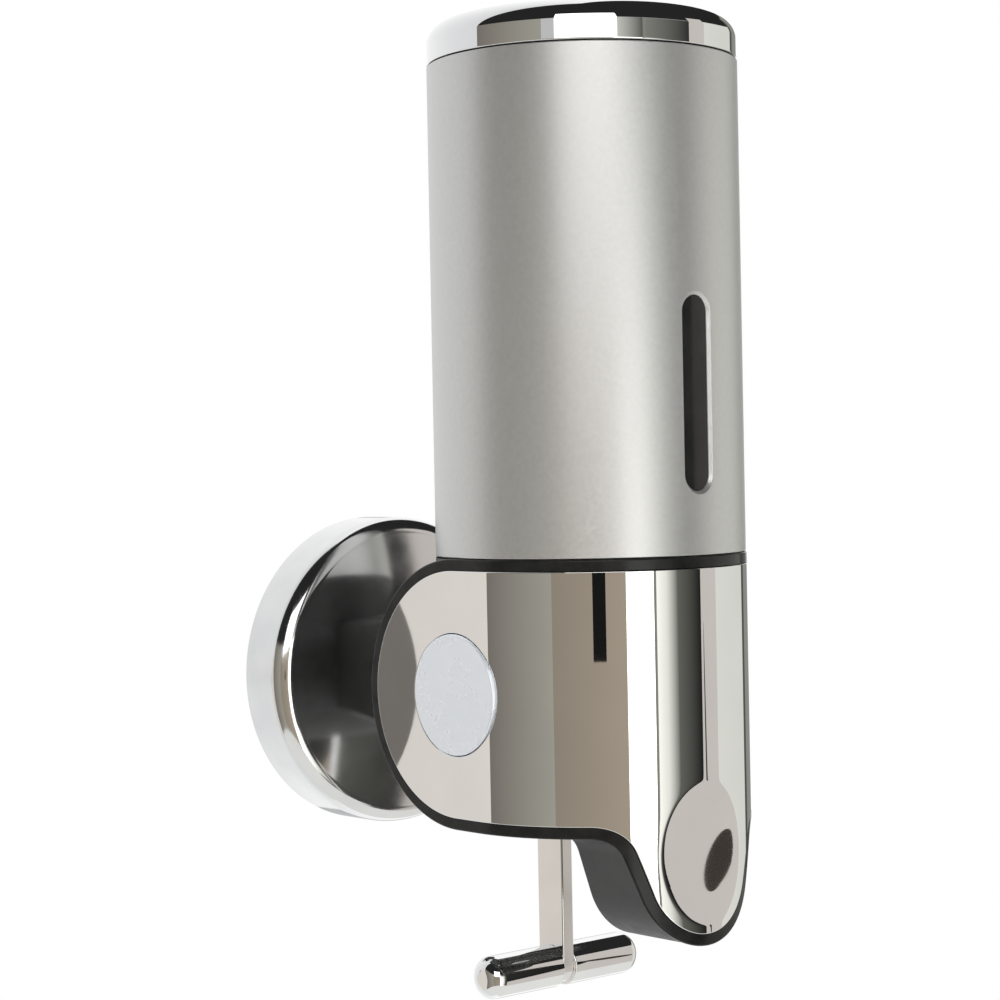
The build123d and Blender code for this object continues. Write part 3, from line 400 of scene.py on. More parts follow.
# ------------------------------------------------------------------ materials
def finish(name, dark, light, metallic=0.0, rough=(0.3, 0.4), grain=300.0, bump=0.0,
           bump_scale=1500.0, **sockets):
    """Procedural finish: tone and roughness drift with one noise, a second one gives the grain."""
    material = bpy.data.materials.new(name)
    material.use_nodes = True
    nodes, links = material.node_tree.nodes, material.node_tree.links
    shader = nodes["Principled BSDF"]
    place = nodes.new("ShaderNodeTexCoord")
    drift = nodes.new("ShaderNodeTexNoise")
    drift.inputs["Scale"].default_value = grain
    drift.inputs["Detail"].default_value = 4
    links.new(place.outputs["Object"], drift.inputs["Vector"])
    tone = nodes.new("ShaderNodeValToRGB")
    tone.color_ramp.elements[0].position, tone.color_ramp.elements[1].position = 0.3, 0.7
    tone.color_ramp.elements[0].color = (*dark, 1)
    tone.color_ramp.elements[1].color = (*light, 1)
    links.new(drift.outputs["Fac"], tone.inputs["Fac"])
    links.new(tone.outputs["Color"], shader.inputs["Base Color"])
    spread_out = nodes.new("ShaderNodeMapRange")
    spread_out.inputs["From Min"].default_value = 0.3
    spread_out.inputs["From Max"].default_value = 0.7
    spread_out.inputs["To Min"].default_value = rough[0]
    spread_out.inputs["To Max"].default_value = rough[1]
    links.new(drift.outputs["Fac"], spread_out.inputs["Value"])
    links.new(spread_out.outputs["Result"], shader.inputs["Roughness"])
    if bump:
        fine = nodes.new("ShaderNodeTexNoise")
        fine.inputs["Scale"].default_value = bump_scale
        fine.inputs["Detail"].default_value = 3
        links.new(place.outputs["Object"], fine.inputs["Vector"])
        relief = nodes.new("ShaderNodeBump")
        relief.inputs["Strength"].default_value = 1.0
        relief.inputs["Distance"].default_value = bump
        links.new(fine.outputs["Fac"], relief.inputs["Height"])
        links.new(relief.outputs["Normal"], shader.inputs["Normal"])
    shader.inputs["Metallic"].default_value = metallic
    for socket, value in sockets.items():
        shader.inputs[socket.replace("_", " ")].default_value = value
    return material


chrome = finish("chrome", (0.86, 0.86, 0.86), (0.90, 0.90, 0.895), 1.0, (0.008, 0.022), 60)
rose_chrome = finish("rose_chrome", (0.80, 0.80, 0.80), (0.86, 0.86, 0.855), 1.0, (0.09, 0.14), 120)
polished_steel = finish("polished_steel", (0.80, 0.79, 0.77), (0.86, 0.85, 0.84), 1.0, (0.04, 0.08), 90)
silver_paint = finish("silver_paint", (0.60, 0.60, 0.59), (0.64, 0.64, 0.63), 0.9, (0.36, 0.42), 900,
                      0.000004, 6000)
satin_disc = finish("satin_disc", (0.68, 0.71, 0.75), (0.70, 0.73, 0.77), 0.6, (0.26, 0.29), 120)
black_plastic = finish("black_plastic", (0.030, 0.030, 0.030), (0.042, 0.042, 0.041), 0.0, (0.36, 0.48), 300,
                       0.000006, 3000, Specular_IOR_Level=0.3)
# painted shade: the rim is the housing's own black plastic in a darker copy; its lower roughness is the
# band's real gloss
rim_black_painted_shade = finish("rim_black_painted_shade", (0.006, 0.006, 0.006), (0.011, 0.011, 0.010), 0.0, (0.16, 0.24), 250,
                   Specular_IOR_Level=0.22)
dark_plastic = finish("dark_plastic", (0.022, 0.022, 0.022), (0.035, 0.035, 0.034), 0.0, (0.42, 0.55), 500,
                      0.000015, 3500)
smoked_lens = finish("smoked_lens", (0.008, 0.008, 0.008), (0.013, 0.013, 0.012), 0.0, (0.10, 0.16), 150,
                     Specular_IOR_Level=0.35)
clear_plastic = finish("clear_plastic", (0.72, 0.75, 0.76), (0.82, 0.85, 0.86), 0.0, (0.2, 0.3), 150)
white_plastic = finish("white_plastic", (0.74, 0.74, 0.72), (0.82, 0.82, 0.80), 0.0, (0.35, 0.45), 300,
                       0.000008, 3000)
rubber = finish("rubber", (0.018, 0.018, 0.018), (0.032, 0.031, 0.030), 0.0, (0.6, 0.75), 400, 0.00002, 2500)
steel_plate = finish("steel_plate", (0.42, 0.42, 0.42), (0.52, 0.52, 0.51), 1.0, (0.32, 0.44), 250)
screw_steel = finish("screw_steel", (0.50, 0.50, 0.50), (0.62, 0.62, 0.61), 1.0, (0.22, 0.32), 600)
spring_steel = finish("spring_steel", (0.45, 0.45, 0.46), (0.58, 0.58, 0.59), 1.0, (0.2, 0.3), 500)
cast_metal = finish("cast_metal", (0.30, 0.30, 0.31), (0.40, 0.40, 0.41), 0.9, (0.42, 0.55), 400,
                    0.00003, 1800)

MATERIALS = {
    "chrome": chrome, "silver_paint": silver_paint, "black_plastic": black_plastic,
    "dark_plastic": dark_plastic, "satin_disc": satin_disc, "smoked_lens": smoked_lens,
    "clear_plastic": clear_plastic, "white_plastic": white_plastic, "rubber": rubber,
    "steel_plate": steel_plate, "screw_steel": screw_steel, "spring_steel": spring_steel,
    "cast_metal": cast_metal, "polished_steel": polished_steel,
}
for subpart in frame["record"]["subparts"]:
    node_data = frame["nodes"][subpart["node"]].data
    node_data.materials.clear()
    node_data.materials.append(MATERIALS[subpart["material_slot"]])


def stands_for(made, node, body):
    """Ride the body and take the CAD node's place."""
    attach(made, body)
    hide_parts(node)


# ------------------------------------------------------------------ cap
CAP_WALL = 1.8 * MM
CAP_EDGE = 5.0 * MM
CAP_RISE = 1.3 * MM
CAP_LIP = 0.35 * MM


def domed_rows(radius, height, edge, rise, steps):
    """Outer rows from the end of the straight side over the rounded edge to the middle."""
    flat_radius = radius - edge
    ball = (flat_radius ** 2 + rise ** 2) / (2 * rise)
    rows = bend(edge, flat_radius, height - rise - edge, 0, 90, steps)
    crown = [(flat_radius * (1 - i / 12), 0, 0) for i in range(13)]
    for i, (r, _, _) in enumerate(crown):
        h = height - ball + sqrt(ball ** 2 - r ** 2)
        crown[i] = (r, h, pi / 2 - asin(r / ball))
    rows[-1] = crown[0]
    return rows + crown[1:]


def build_cap():
    shell = Shell()
    height = cap_high.z - cap_low.z
    outer = bend(CAP_LIP, TUBE_RADIUS - CAP_LIP, CAP_LIP, -90, 0, 4)
    outer += domed_rows(TUBE_RADIUS, height, CAP_EDGE, CAP_RISE, 16)
    inner_radius = TUBE_RADIUS - CAP_WALL
    flat_radius = TUBE_RADIUS - CAP_EDGE
    inner = [(0, height - CAP_WALL, -pi / 2), (flat_radius, height - CAP_WALL - CAP_RISE, -pi / 2)]
    inner += hollow_bend(CAP_EDGE - CAP_WALL, flat_radius, height - CAP_RISE - CAP_EDGE, 90, 0, 6)
    inner += [(inner_radius, 0, pi)]
    turned(shell, outer + inner + [(inner_radius, 0, -pi / 2), outer[0]], (0, AXIS_Y, cap_low.z),
           (0, 0, 1), 384)
    made = shell.piece("chrome_cap", chrome)
    stands_for(made, "cap_shell", "cap")


build_cap()

# ------------------------------------------------------------------ silver tube and window
TUBE_WALL = 1.5 * MM
TUBE_EDGE = 0.25 * MM
WINDOW_LENGTH = 43.5 * MM
WINDOW_WIDTH = 7.6 * MM
WINDOW_BEVEL = 0.75 * MM
WINDOW_CENTRE_Z = (lens_low.z + lens_high.z) / 2
WINDOW_ROOM = 0.025 * MM         # lens to the slot's edge
BAND_MARGIN = 3 * MM             # band of the tube's wall that holds the slot, past its ends
BAND_ROWS = 49


def tube_surface(spots):
    """Round tube spread out flat, its seam at the back."""
    turn = spots[:, 0] / TUBE_RADIUS
    return np.column_stack([TUBE_RADIUS * np.sin(turn), AXIS_Y - TUBE_RADIUS * np.cos(turn), spots[:, 1]])


def build_tube():
    shell = Shell()
    reach = WINDOW_LENGTH / 2 + BAND_MARGIN
    window_z = (WINDOW_CENTRE_Z - reach, WINDOW_CENTRE_Z + reach)
    rows = [(TUBE_RADIUS - TUBE_WALL, 0, pi), (TUBE_RADIUS - TUBE_WALL, 0, -pi / 2)]
    rows += bend(TUBE_EDGE, TUBE_RADIUS - TUBE_EDGE, TUBE_EDGE, -90, 0, 4)
    rows += [(TUBE_RADIUS, window_z[0] - tube_low.z, 0)]
    inner_low = [(TUBE_RADIUS - TUBE_WALL, window_z[0] - tube_low.z, pi), (TUBE_RADIUS - TUBE_WALL, 0, pi)]
    origin = (0, AXIS_Y, tube_low.z)
    turned(shell, rows, origin, (0, 0, 1))
    turned(shell, inner_low, origin, (0, 0, 1))
    height = tube_high.z - tube_low.z
    top = [(TUBE_RADIUS, window_z[1] - tube_low.z, 0)]
    top += bend(TUBE_EDGE, TUBE_RADIUS - TUBE_EDGE, height - TUBE_EDGE, 0, 90, 4)
    top += [(TUBE_RADIUS - TUBE_WALL, height, pi / 2), (TUBE_RADIUS - TUBE_WALL, height, pi),
            (TUBE_RADIUS - TUBE_WALL, window_z[1] - tube_low.z, pi)]
    turned(shell, top, origin, (0, 0, 1))
    around = 2 * pi * TUBE_RADIUS / AROUND * np.arange(-AROUND // 2, AROUND // 2)
    upward = np.linspace(window_z[0], window_z[1], BAND_ROWS + 1)
    seam = pi * TUBE_RADIUS
    band = np.concatenate([
        np.column_stack([around, np.full(AROUND, window_z[0])]),
        np.column_stack([np.full(BAND_ROWS, seam), upward[:-1]]),
        np.column_stack([-around, np.full(AROUND, window_z[1])]),
        np.column_stack([np.full(BAND_ROWS, -seam), upward[:0:-1]])])
    slot = slot_loop((0, WINDOW_CENTRE_Z), WINDOW_LENGTH, WINDOW_WIDTH)
    panel(shell, tube_surface, (band, []),
          [(slot, sloped(WINDOW_BEVEL, WINDOW_BEVEL, 0.12 * MM, TUBE_WALL))], 1.6 * MM)
    made = shell.piece("silver_tube", silver_paint)
    stands_for(made, "tube_shell", "wall_unit")


def build_lens():
    shell = Shell()
    lens_radius = TUBE_RADIUS - WINDOW_BEVEL - 0.1 * MM

    def surface(spots):
        turn = spots[:, 0] / lens_radius
        return np.column_stack([lens_radius * np.sin(turn), AXIS_Y - lens_radius * np.cos(turn), spots[:, 1]])
    slot = slot_loop((0, WINDOW_CENTRE_Z), WINDOW_LENGTH - 2 * WINDOW_ROOM,
                     WINDOW_WIDTH - 2 * WINDOW_ROOM)
    panel(shell, surface, (slot, rounded(0.15 * MM, 1.8 * MM)), spacing=0.8 * MM)
    made = shell.piece("smoked_window", smoked_lens)
    stands_for(made, "window_lens", "wall_unit")


build_tube()
build_lens()

# ------------------------------------------------------------------ chrome front plate
PLATE_EDGE = 0.22 * MM
DISC_ROOM = 0.15 * MM


def build_plate():
    shell = Shell()
    surface, dish_rim = dish_surface(PLATE_RADIUS)
    outline, cheek_s = front_outline(PLATE_RADIUS, PLATE_INSET)
    disc_radius = (disc_high.z - disc_low.z) / 2 + DISC_ROOM
    holes = []
    for side in (-1, 1):
        hole = arc((side * cheek_s, 0), disc_radius, 0, 360)
        holes.append((hole, rounded(0.3 * MM, PLATE_THICKNESS)))
    side_step = outward(dish_rim)
    crease = np.concatenate([dish_rim + side_step * offset * MM
                             for offset in (-0.9, -0.55, -0.3, -0.14, 0, 0.14, 0.3, 0.55, 0.9)])
    panel(shell, surface, (outline, rounded(PLATE_EDGE, PLATE_THICKNESS)), holes, 1.0 * MM, crease)
    made = shell.piece("chrome_front", chrome)
    stands_for(made, "front_plate", "wall_unit")


build_plate()

# ------------------------------------------------------------------ black rim round the plate, a darker copy of the housing's black as painted shade
RIM_PROUD = 0.2 * MM
RIM_EDGE = 0.5 * MM
RIM_THICKNESS = 1.6 * MM
RIM_ROOM = 0.08 * MM             # between the rim and the chrome plate


def build_rim():
    shell = Shell()
    radius = body_high.x + RIM_PROUD
    surface = wrap(radius)
    outline, _ = front_outline(radius, -RIM_PROUD)
    opening, _ = front_outline(radius, PLATE_INSET - RIM_ROOM)
    panel(shell, surface, (outline, rounded(RIM_EDGE, RIM_THICKNESS)),
          [(opening, rounded(0.1 * MM, RIM_THICKNESS, 2))], 0.9 * MM)
    made = shell.piece("housing_rim", rim_black_painted_shade)
    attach(made, "wall_unit")


build_rim()

# ------------------------------------------------------------------ side discs
DISC_EDGE = 0.35 * MM


def build_discs():
    for side, node in ((-1, "side_disc_left"), (1, "side_disc_right")):
        low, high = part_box(node)
        radius = (high.z - low.z) / 2
        face = max(abs(low.x), abs(high.x))
        back = min(abs(low.x), abs(high.x))
        shell = Shell()
        rows = [(0, back, -pi / 2), (radius, back, -pi / 2), (radius, back, 0)]
        rows += bend(DISC_EDGE, radius - DISC_EDGE, face - DISC_EDGE, 0, 90, 6) + [(0, face, pi / 2)]
        turned(shell, rows, (0, PIVOT_Y, (low.z + high.z) / 2), (side, 0, 0), 160)
        made = shell.piece(node.replace("side_disc", "satin_disc"), satin_disc)
        stands_for(made, node, "wall_unit")


build_discs()

# ------------------------------------------------------------------ wall rose
ROSE_EDGE = 4.2 * MM
ROSE_RISE = 2.9 * MM
ROSE_WALL = 1.6 * MM
ROSE_FOOT = 0.4 * MM


def build_rose():
    shell = Shell()
    radius = rose_high.x
    depth = rose_high.y - rose_low.y
    flat_radius = radius - ROSE_EDGE
    ball = (flat_radius ** 2 + ROSE_RISE ** 2) / (2 * ROSE_RISE)
    outer = [(radius - ROSE_WALL, 0, -pi / 2)] + bend(ROSE_FOOT, radius - ROSE_FOOT, ROSE_FOOT, -90, 0, 4)
    outer += domed_rows(radius, depth, ROSE_EDGE, ROSE_RISE, 16)[:17]
    turned(shell, outer, (0, 0, 0), (0, -1, 0))
    inner_depth = depth - ROSE_WALL
    inner = [(flat_radius, inner_depth - ROSE_RISE, -pi / 2)]
    inner += hollow_bend(ROSE_EDGE - ROSE_WALL, flat_radius, depth - ROSE_RISE - ROSE_EDGE, 90, 0, 6)
    inner += [(radius - ROSE_WALL, 0, pi)]
    turned(shell, inner, (0, 0, 0), (0, -1, 0))

    def surface(spots):
        r2 = (spots ** 2).sum(axis=1)
        rise = depth - ball + np.sqrt(np.maximum(ball ** 2 - r2, 0))
        return np.column_stack([spots[:, 0], -rise, spots[:, 1]])
    turn = np.arange(AROUND) * 2 * pi / AROUND
    rim = flat_radius * np.column_stack([np.sin(turn), np.cos(turn)])
    arm_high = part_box("wall_arm")[1]
    hole = box_loop(arm_high.x + 0.3 * MM, arm_high.z + 0.3 * MM, 2.5 * MM)
    panel(shell, surface, (rim[::-1], []), [(hole, rounded(0.4 * MM, ROSE_WALL))], 1.5 * MM)
    made = shell.piece("chrome_rose", rose_chrome)
    stands_for(made, "wall_rose", "wall_unit")


build_rose()

# ------------------------------------------------------------------ lever strip and handle
STRIP_EDGE = 0.35 * MM
GRIP_EDGE = 3.5 * MM
STUD_RADIUS = 2.0 * MM
BAR_Y = (grip_low.y + grip_high.y) / 2
BAR_Z = (grip_low.z + grip_high.z) / 2


def build_strip():
    shell = Shell()
    half = (strip_high.y - strip_low.y) / 2
    middle = (strip_high.y + strip_low.y) / 2
    thickness = strip_high.x - strip_low.x

    def surface(spots):
        return np.column_stack([np.full(len(spots), strip_low.x), middle - spots[:, 0], spots[:, 1]])
    end_z = strip_low.z + half
    outline = np.concatenate([
        line((half, strip_high.z), (-half, strip_high.z)), line((-half, strip_high.z), (-half, end_z)),
        arc((0, end_z), half, 180, 360), line((half, end_z), (half, strip_high.z))])
    panel(shell, surface, (outline, pillowed(STRIP_EDGE, thickness)), spacing=1.2 * MM)
    made = shell.piece("steel_strip", polished_steel)
    stands_for(made, "lever_strip", "lever")


def build_grips():
    radius = (grip_high.z - grip_low.z) / 2
    for side, node in ((-1, "handle_grip_left"), (1, "handle_grip_right")):
        near, far = grip_low.x, grip_high.x
        shell = Shell()
        bore_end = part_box("handle_stud")[1].x
        rows = [(STUD_RADIUS, near, -pi / 2), (radius - 0.3 * MM, near, -pi / 2)]
        rows += bend(0.3 * MM, radius - 0.3 * MM, near + 0.3 * MM, -90, 0, 4)
        rows += bend(GRIP_EDGE, radius - GRIP_EDGE, far - GRIP_EDGE, 0, 90, 12)
        rows += [(0, far, pi / 2)]
        inner = [(0, bore_end, -pi / 2), (STUD_RADIUS, bore_end, -pi / 2), (STUD_RADIUS, bore_end, pi),
                 (STUD_RADIUS, near, pi)]
        turned(shell, rows, (0, BAR_Y, BAR_Z), (side, 0, 0), 128)
        turned(shell, inner, (0, BAR_Y, BAR_Z), (side, 0, 0), 128)
        made = shell.piece(node.replace("handle", "chrome"), chrome)
        stands_for(made, node, "lever")


build_strip()
build_grips()

# ------------------------------------------------------------------ pump spring
SPRING_WIRE = 0.8 * MM
SPRING_TURNS = 4


def build_spring():
    low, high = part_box("pump_spring")
    radius = (high.x - low.x - SPRING_WIRE) / 2
    middle_y = (low.y + high.y) / 2
    turn = np.linspace(0, 2 * pi * SPRING_TURNS, 40 * SPRING_TURNS + 1)
    height = np.linspace(low.z + SPRING_WIRE / 2, high.z - SPRING_WIRE / 2, len(turn))
    pitch = (height[-1] - height[0]) / (2 * pi * SPRING_TURNS)
    out = np.column_stack([np.cos(turn), np.sin(turn), np.zeros(len(turn))])
    along = np.column_stack([-radius * np.sin(turn), radius * np.cos(turn), np.full(len(turn), pitch)])
    along /= np.linalg.norm(along, axis=1)[:, None]
    lift = np.cross(out, along)
    centres = np.column_stack([radius * np.cos(turn), middle_y + radius * np.sin(turn), height])
    around = (np.arange(14) * 2 * pi / 14)[None, :, None]
    ring = np.cos(around) * out[:, None] + np.sin(around) * lift[:, None]
    points = centres[:, None] + SPRING_WIRE / 2 * ring
    shell = Shell()
    shell.add_grid(points, ring, closed=True)
    for end, facing in ((0, -along[0]), (-1, along[-1])):
        shell.add(points[end], [tuple(range(14))], np.tile(facing, (14, 1)))
    made = shell.piece("pump_coil", spring_steel)
    stands_for(made, "pump_spring", "wall_unit")
    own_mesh(made)


build_spring()

# ------------------------------------------------------------------ camera
CAMERA_DISTANCE = 574.4 * MM     # from the tube's axis
CAMERA_AZIMUTH = radians(43.0)   # to the left of straight ahead
CAMERA_HEIGHT = 52.4 * MM        # above the middle of the housing
CAMERA_HEADING = radians(40.92)
CAMERA_PITCH = radians(-0.89)
CAMERA_ROLL = radians(-1.12)


def build_camera():
    data = bpy.data.cameras.new("camera")
    data.lens, data.sensor_width = 88.77, 36.0
    data.clip_start, data.clip_end = 0.01, 50
    camera = bpy.data.objects.new("camera", data)
    bpy.context.scene.collection.objects.link(camera)
    forward = Vector((sin(CAMERA_HEADING) * cos(CAMERA_PITCH), cos(CAMERA_HEADING) * cos(CAMERA_PITCH),
                      sin(CAMERA_PITCH)))
    right = Vector((cos(CAMERA_HEADING), -sin(CAMERA_HEADING), 0))
    up = right.cross(forward)
    tipped_right = right * cos(CAMERA_ROLL) + up * sin(CAMERA_ROLL)
    tipped_up = up * cos(CAMERA_ROLL) - right * sin(CAMERA_ROLL)
    place = Vector((-sin(CAMERA_AZIMUTH) * CAMERA_DISTANCE,
                    AXIS_Y - cos(CAMERA_AZIMUTH) * CAMERA_DISTANCE, CAMERA_HEIGHT))
    turn = Matrix((tipped_right, tipped_up, -forward)).transposed()
    camera.matrix_world = Matrix.Translation(place) @ turn.to_4x4()
    bpy.context.scene.camera = camera


build_camera()

# ------------------------------------------------------------------ studio
STUDIO_RADIUS = 2.5
CARD_NEARER = 0.03               # each later card stands this much nearer
WALL_GREY = ((0.19, 0.17, 0.15), (0.36, 0.35, 0.30))
WALL_BROWN = ((0.29, 0.25, 0.20), (0.39, 0.33, 0.26))
BACKDROP = ((1.1, 1.1, 1.1), (0.74, 0.75, 0.76))

# azimuths in degrees round from straight in front, positive to the right; then heights
CARDS = [
    ("ceiling", (-180, 180), (16, 90), (0.02, 0.02, 0.02), (0.02, 0.02, 0.02)),
    ("floor_glow", (-180, 180), (-90, -35), (0.80, 0.80, 0.78), (0.80, 0.80, 0.78)),
    ("backdrop", (118, 236), (-90, 89), *BACKDROP),
    ("warm_side", (-142.9, -124), (-35, 6), (0.74, 0.70, 0.66), (0.76, 0.72, 0.66)),
    ("cool_side", (128, 152), (-35, 8), (0.78, 0.79, 0.80), (0.46, 0.47, 0.48)),
    ("wall_left", (-124, -71.5), (-35, 16), *WALL_GREY),
    ("wall_middle", (-71.5, -18.3), (-35, 9), *WALL_BROWN),
    ("softbox_high", (-62, -17), (9, 34), (2.2, 2.2, 2.2), (2.2, 2.2, 2.2)),
    ("label", (-54, -47.5), (9.0, 9.9), (0.34, 0.27, 0.22), (0.34, 0.27, 0.22)),
    ("stand", (-42.3, -33.0), (-4.4, -1.4), (0.01, 0.01, 0.01), (0.01, 0.01, 0.01)),
    ("softbox_right", (-18.3, 2.2), (-35, 8), (2.4, 2.4, 2.35), (2.4, 2.4, 2.35)),
    ("corner_high", (-17, 2.2), (8, 16), (0.60, 0.60, 0.56), (0.10, 0.10, 0.09)),
    ("gap", (2.2, 4.2), (-35, 16), (0.24, 0.24, 0.21), (0.24, 0.24, 0.21)),
    ("screen_near", (4.2, 12), (-35, 8), (1.10, 1.10, 1.02), (0.84, 0.84, 0.78)),
    ("screen_middle", (12, 21), (-35, 8), (0.84, 0.84, 0.78), (0.17, 0.17, 0.15)),
    ("screen_far", (21, 42), (-35, 8), (0.13, 0.13, 0.115), (0.012, 0.012, 0.012)),
    ("screen_high", (4.2, 42), (8, 16), (0.22, 0.22, 0.20), (0.03, 0.03, 0.03)),
    ("beige", (42, 58), (-35, 26), (0.60, 0.565, 0.53), (0.62, 0.58, 0.55)),
    ("pale", (58, 98), (-35, 20), (0.76, 0.76, 0.71), (0.70, 0.70, 0.66)),
    ("flag", (98, 103), (-35, 30), (0.09, 0.09, 0.08), (0.09, 0.09, 0.08)),
    ("grey_side", (103, 118), (-35, 30), (0.26, 0.27, 0.24), (0.27, 0.28, 0.26)),
]


def unseen(made):
    """Leave an object in the reflections only."""
    made.visible_camera = False
    made.visible_diffuse = False
    made.visible_transmission = False
    made.visible_volume_scatter = False
    made.visible_shadow = False


def glow_card(name, points, faces, tones):
    """Card that shines with its own tones and is met by reflections only."""
    mesh = bpy.data.meshes.new(name)
    mesh.from_pydata(points, [], faces)
    tone = mesh.color_attributes.new("tone", "FLOAT_COLOR", "POINT")
    tone.data.foreach_set("color", np.array(tones, np.float32).ravel())
    material = bpy.data.materials.new(name)
    material.use_nodes = True
    nodes, links = material.node_tree.nodes, material.node_tree.links
    nodes.remove(nodes["Principled BSDF"])
    colour = nodes.new("ShaderNodeVertexColor")
    colour.layer_name = "tone"
    glow = nodes.new("ShaderNodeEmission")
    links.new(colour.outputs["Color"], glow.inputs["Color"])
    links.new(glow.outputs["Emission"], nodes["Material Output"].inputs["Surface"])
    mesh.materials.append(material)
    made = bpy.data.objects.new(name, mesh)
    bpy.context.scene.collection.objects.link(made)
    unseen(made)


def build_card(name, azimuths, heights, left, right, radius):
    columns = max(3, round(abs(azimuths[1] - azimuths[0]) / 4) + 1)
    rows = max(2, round(abs(heights[1] - heights[0]) / 6) + 1)
    points, tones, faces = [], [], []
    for i in range(rows):
        height = radians(heights[0] + (heights[1] - heights[0]) * i / (rows - 1))
        for j in range(columns):
            share = j / (columns - 1)
            turn = radians(azimuths[0] + (azimuths[1] - azimuths[0]) * share)
            points.append((radius * cos(height) * sin(turn),
                           AXIS_Y - radius * cos(height) * cos(turn), radius * sin(height)))
            tones.append([a + (b - a) * share for a, b in zip(left, right)] + [1])
            if i and j:
                k = i * columns + j
                faces.append((k, k - 1, k - 1 - columns, k - columns))
    glow_card(name, points, faces, tones)


for number, card in enumerate(CARDS):
    build_card(*card, STUDIO_RADIUS - CARD_NEARER * number)

# round shade mirrored at the back of the cheek: middle and half width in degrees
SHADE_MIDDLE = (-145.9, -4.8)
SHADE_SIZE = 5.3
SHADE_SIDE = 55                  # only this much of its round edge, up and down, is used
SHADE_DISTANCE = 1.9


def build_shade():
    points = []
    for part in range(-SHADE_SIDE, SHADE_SIDE + 1, 5):
        turn = radians(SHADE_MIDDLE[0] + SHADE_SIZE * cos(radians(part)))
        height = radians(SHADE_MIDDLE[1] + SHADE_SIZE * sin(radians(part)))
        points.append((SHADE_DISTANCE * cos(height) * sin(turn),
                       AXIS_Y - SHADE_DISTANCE * cos(height) * cos(turn),
                       SHADE_DISTANCE * sin(height)))
    glow_card("shade", points, [tuple(range(len(points)))], [(0.18, 0.165, 0.15, 1)] * len(points))


build_shade()

# dark oval mirrored in the dish: middle and two half widths on the plate's front view
OVAL_MIDDLE = np.array((5.3, -37.8)) * MM
OVAL_ACROSS = np.array((3.4, -1.1)) * MM
OVAL_UP = np.array((3.5, 6.6)) * MM
OVAL_DISTANCE = 600 * MM


def build_oval():
    """Card placed where the camera's rays go after the dish turns them back."""
    surface, _ = dish_surface(PLATE_RADIUS)
    turn = np.arange(48) * 2 * pi / 48
    seen = OVAL_MIDDLE + np.cos(turn)[:, None] * OVAL_ACROSS + np.sin(turn)[:, None] * OVAL_UP
    spots = np.column_stack([spread(PLATE_RADIUS, seen[:, 0]), seen[:, 1]])
    places, facing = surface(spots), directions(surface, spots)
    inward = places - np.array(bpy.context.scene.camera.matrix_world.translation)
    inward /= np.linalg.norm(inward, axis=1)[:, None]
    away = inward - 2 * np.sum(inward * facing, axis=1)[:, None] * facing
    points = places + OVAL_DISTANCE * away
    glow_card("oval", [tuple(p) for p in points], [tuple(range(48))], [(0.050, 0.042, 0.036, 1)] * 48)


build_oval()


def build_world():
    world = bpy.data.worlds.new("white")
    world.use_nodes = True
    nodes, links = world.node_tree.nodes, world.node_tree.links
    seen = nodes["Background"]
    seen.inputs["Color"].default_value = (1, 1, 1, 1)
    soft = nodes.new("ShaderNodeBackground")
    soft.inputs["Color"].default_value = (1, 1, 1, 1)
    soft.inputs["Strength"].default_value = 0.55
    path = nodes.new("ShaderNodeLightPath")
    mix = nodes.new("ShaderNodeMixShader")
    links.new(path.outputs["Is Camera Ray"], mix.inputs["Fac"])
    links.new(soft.outputs["Background"], mix.inputs[1])
    links.new(seen.outputs["Background"], mix.inputs[2])
    links.new(mix.outputs["Shader"], nodes["World Output"].inputs["Surface"])
    bpy.context.scene.world = world


def build_light(name, azimuth, height, size, watts, distance=1.6):
    data = bpy.data.lights.new(name, "AREA")
    data.shape, data.size, data.energy = "DISK", size, watts
    made = bpy.data.objects.new(name, data)
    turn, rise = radians(azimuth), radians(height)
    away = Vector((sin(turn) * cos(rise), -cos(turn) * cos(rise), sin(rise)))
    made.location = Vector((0, AXIS_Y, 0.04)) + away * distance
    made.rotation_euler = away.to_track_quat("Z", "Y").to_euler()
    bpy.context.scene.collection.objects.link(made)
    made.visible_glossy = False
    made.visible_camera = False


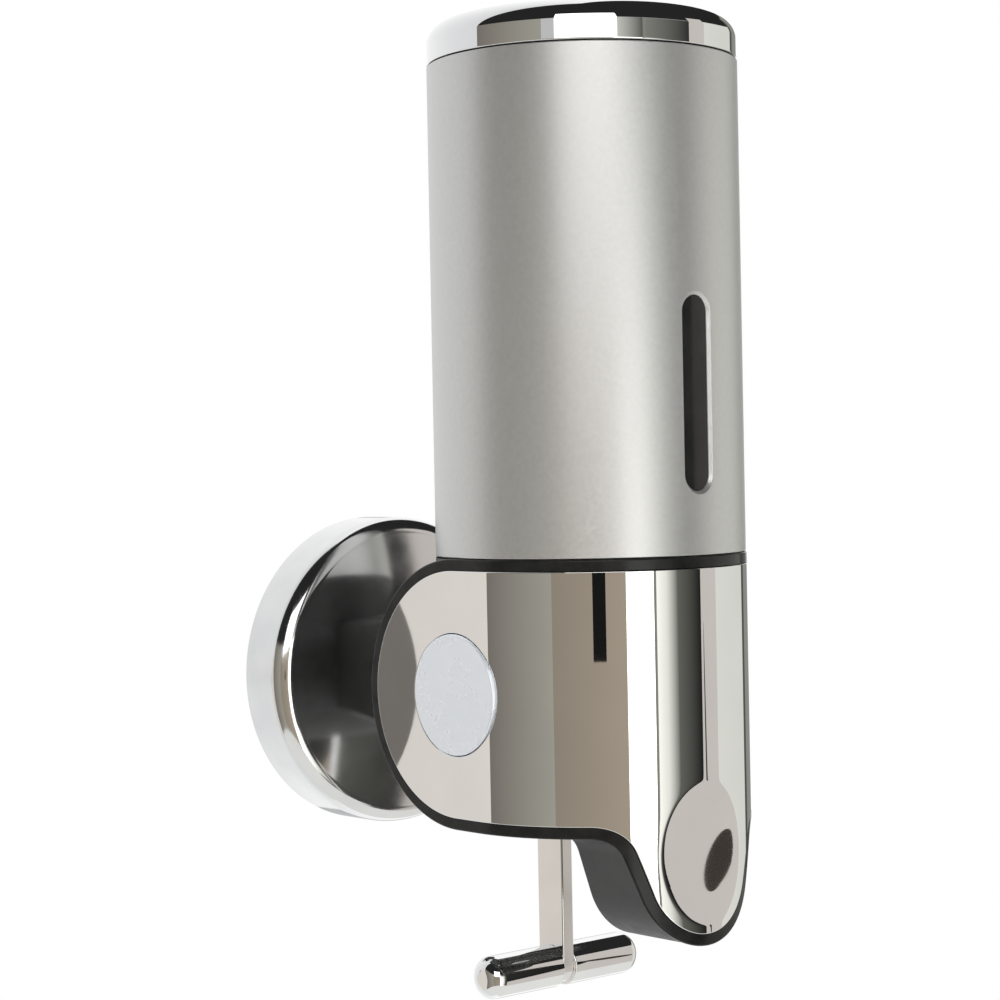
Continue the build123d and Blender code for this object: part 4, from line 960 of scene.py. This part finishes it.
FLOOR_Z = -0.30
FLOOR_RADIUS = 8.0
FADE = (0.3, 1.0)                # the floor turns to plain white over this distance


def build_floor():
    turn = np.arange(96) * 2 * pi / 96
    points = [(0, AXIS_Y, FLOOR_Z)]
    rings = (0.2, 0.5, 1.0, 2.0, FLOOR_RADIUS)
    for ring in rings:
        points += [(ring * cos(t), AXIS_Y + ring * sin(t), FLOOR_Z) for t in turn]
    faces = [(0, 1 + i, 1 + (i + 1) % 96) for i in range(96)]
    for k in range(len(rings) - 1):
        first = 1 + 96 * k
        faces += [(first + i, first + 96 + i, first + 96 + (i + 1) % 96, first + (i + 1) % 96)
                  for i in range(96)]
    mesh = bpy.data.meshes.new("floor")
    mesh.from_pydata(points, [], faces)
    material = bpy.data.materials.new("floor")
    material.use_nodes = True
    nodes, links = material.node_tree.nodes, material.node_tree.links
    nodes["Principled BSDF"].inputs["Base Color"].default_value = (0.88, 0.88, 0.87, 1)
    nodes["Principled BSDF"].inputs["Roughness"].default_value = 0.9
    place = nodes.new("ShaderNodeTexCoord")
    length = nodes.new("ShaderNodeVectorMath")
    length.operation = "LENGTH"
    fade = nodes.new("ShaderNodeMapRange")
    fade.interpolation_type = "SMOOTHSTEP"
    fade.inputs["From Min"].default_value, fade.inputs["From Max"].default_value = FADE
    glow = nodes.new("ShaderNodeEmission")
    mix = nodes.new("ShaderNodeMixShader")
    links.new(place.outputs["Object"], length.inputs[0])
    links.new(length.outputs["Value"], fade.inputs["Value"])
    links.new(fade.outputs["Result"], mix.inputs["Fac"])
    links.new(nodes["Principled BSDF"].outputs["BSDF"], mix.inputs[1])
    links.new(glow.outputs["Emission"], mix.inputs[2])
    links.new(mix.outputs["Shader"], nodes["Material Output"].inputs["Surface"])
    mesh.materials.append(material)
    floor = bpy.data.objects.new("floor", mesh)
    bpy.context.scene.collection.objects.link(floor)
    floor.visible_glossy = False
    floor.visible_shadow = False


build_world()
build_floor()
build_light("key", -35, 30, 1.2, 30)
build_light("fill", 70, 10, 1.5, 10)
bpy.context.scene.view_settings.view_transform = "Standard"
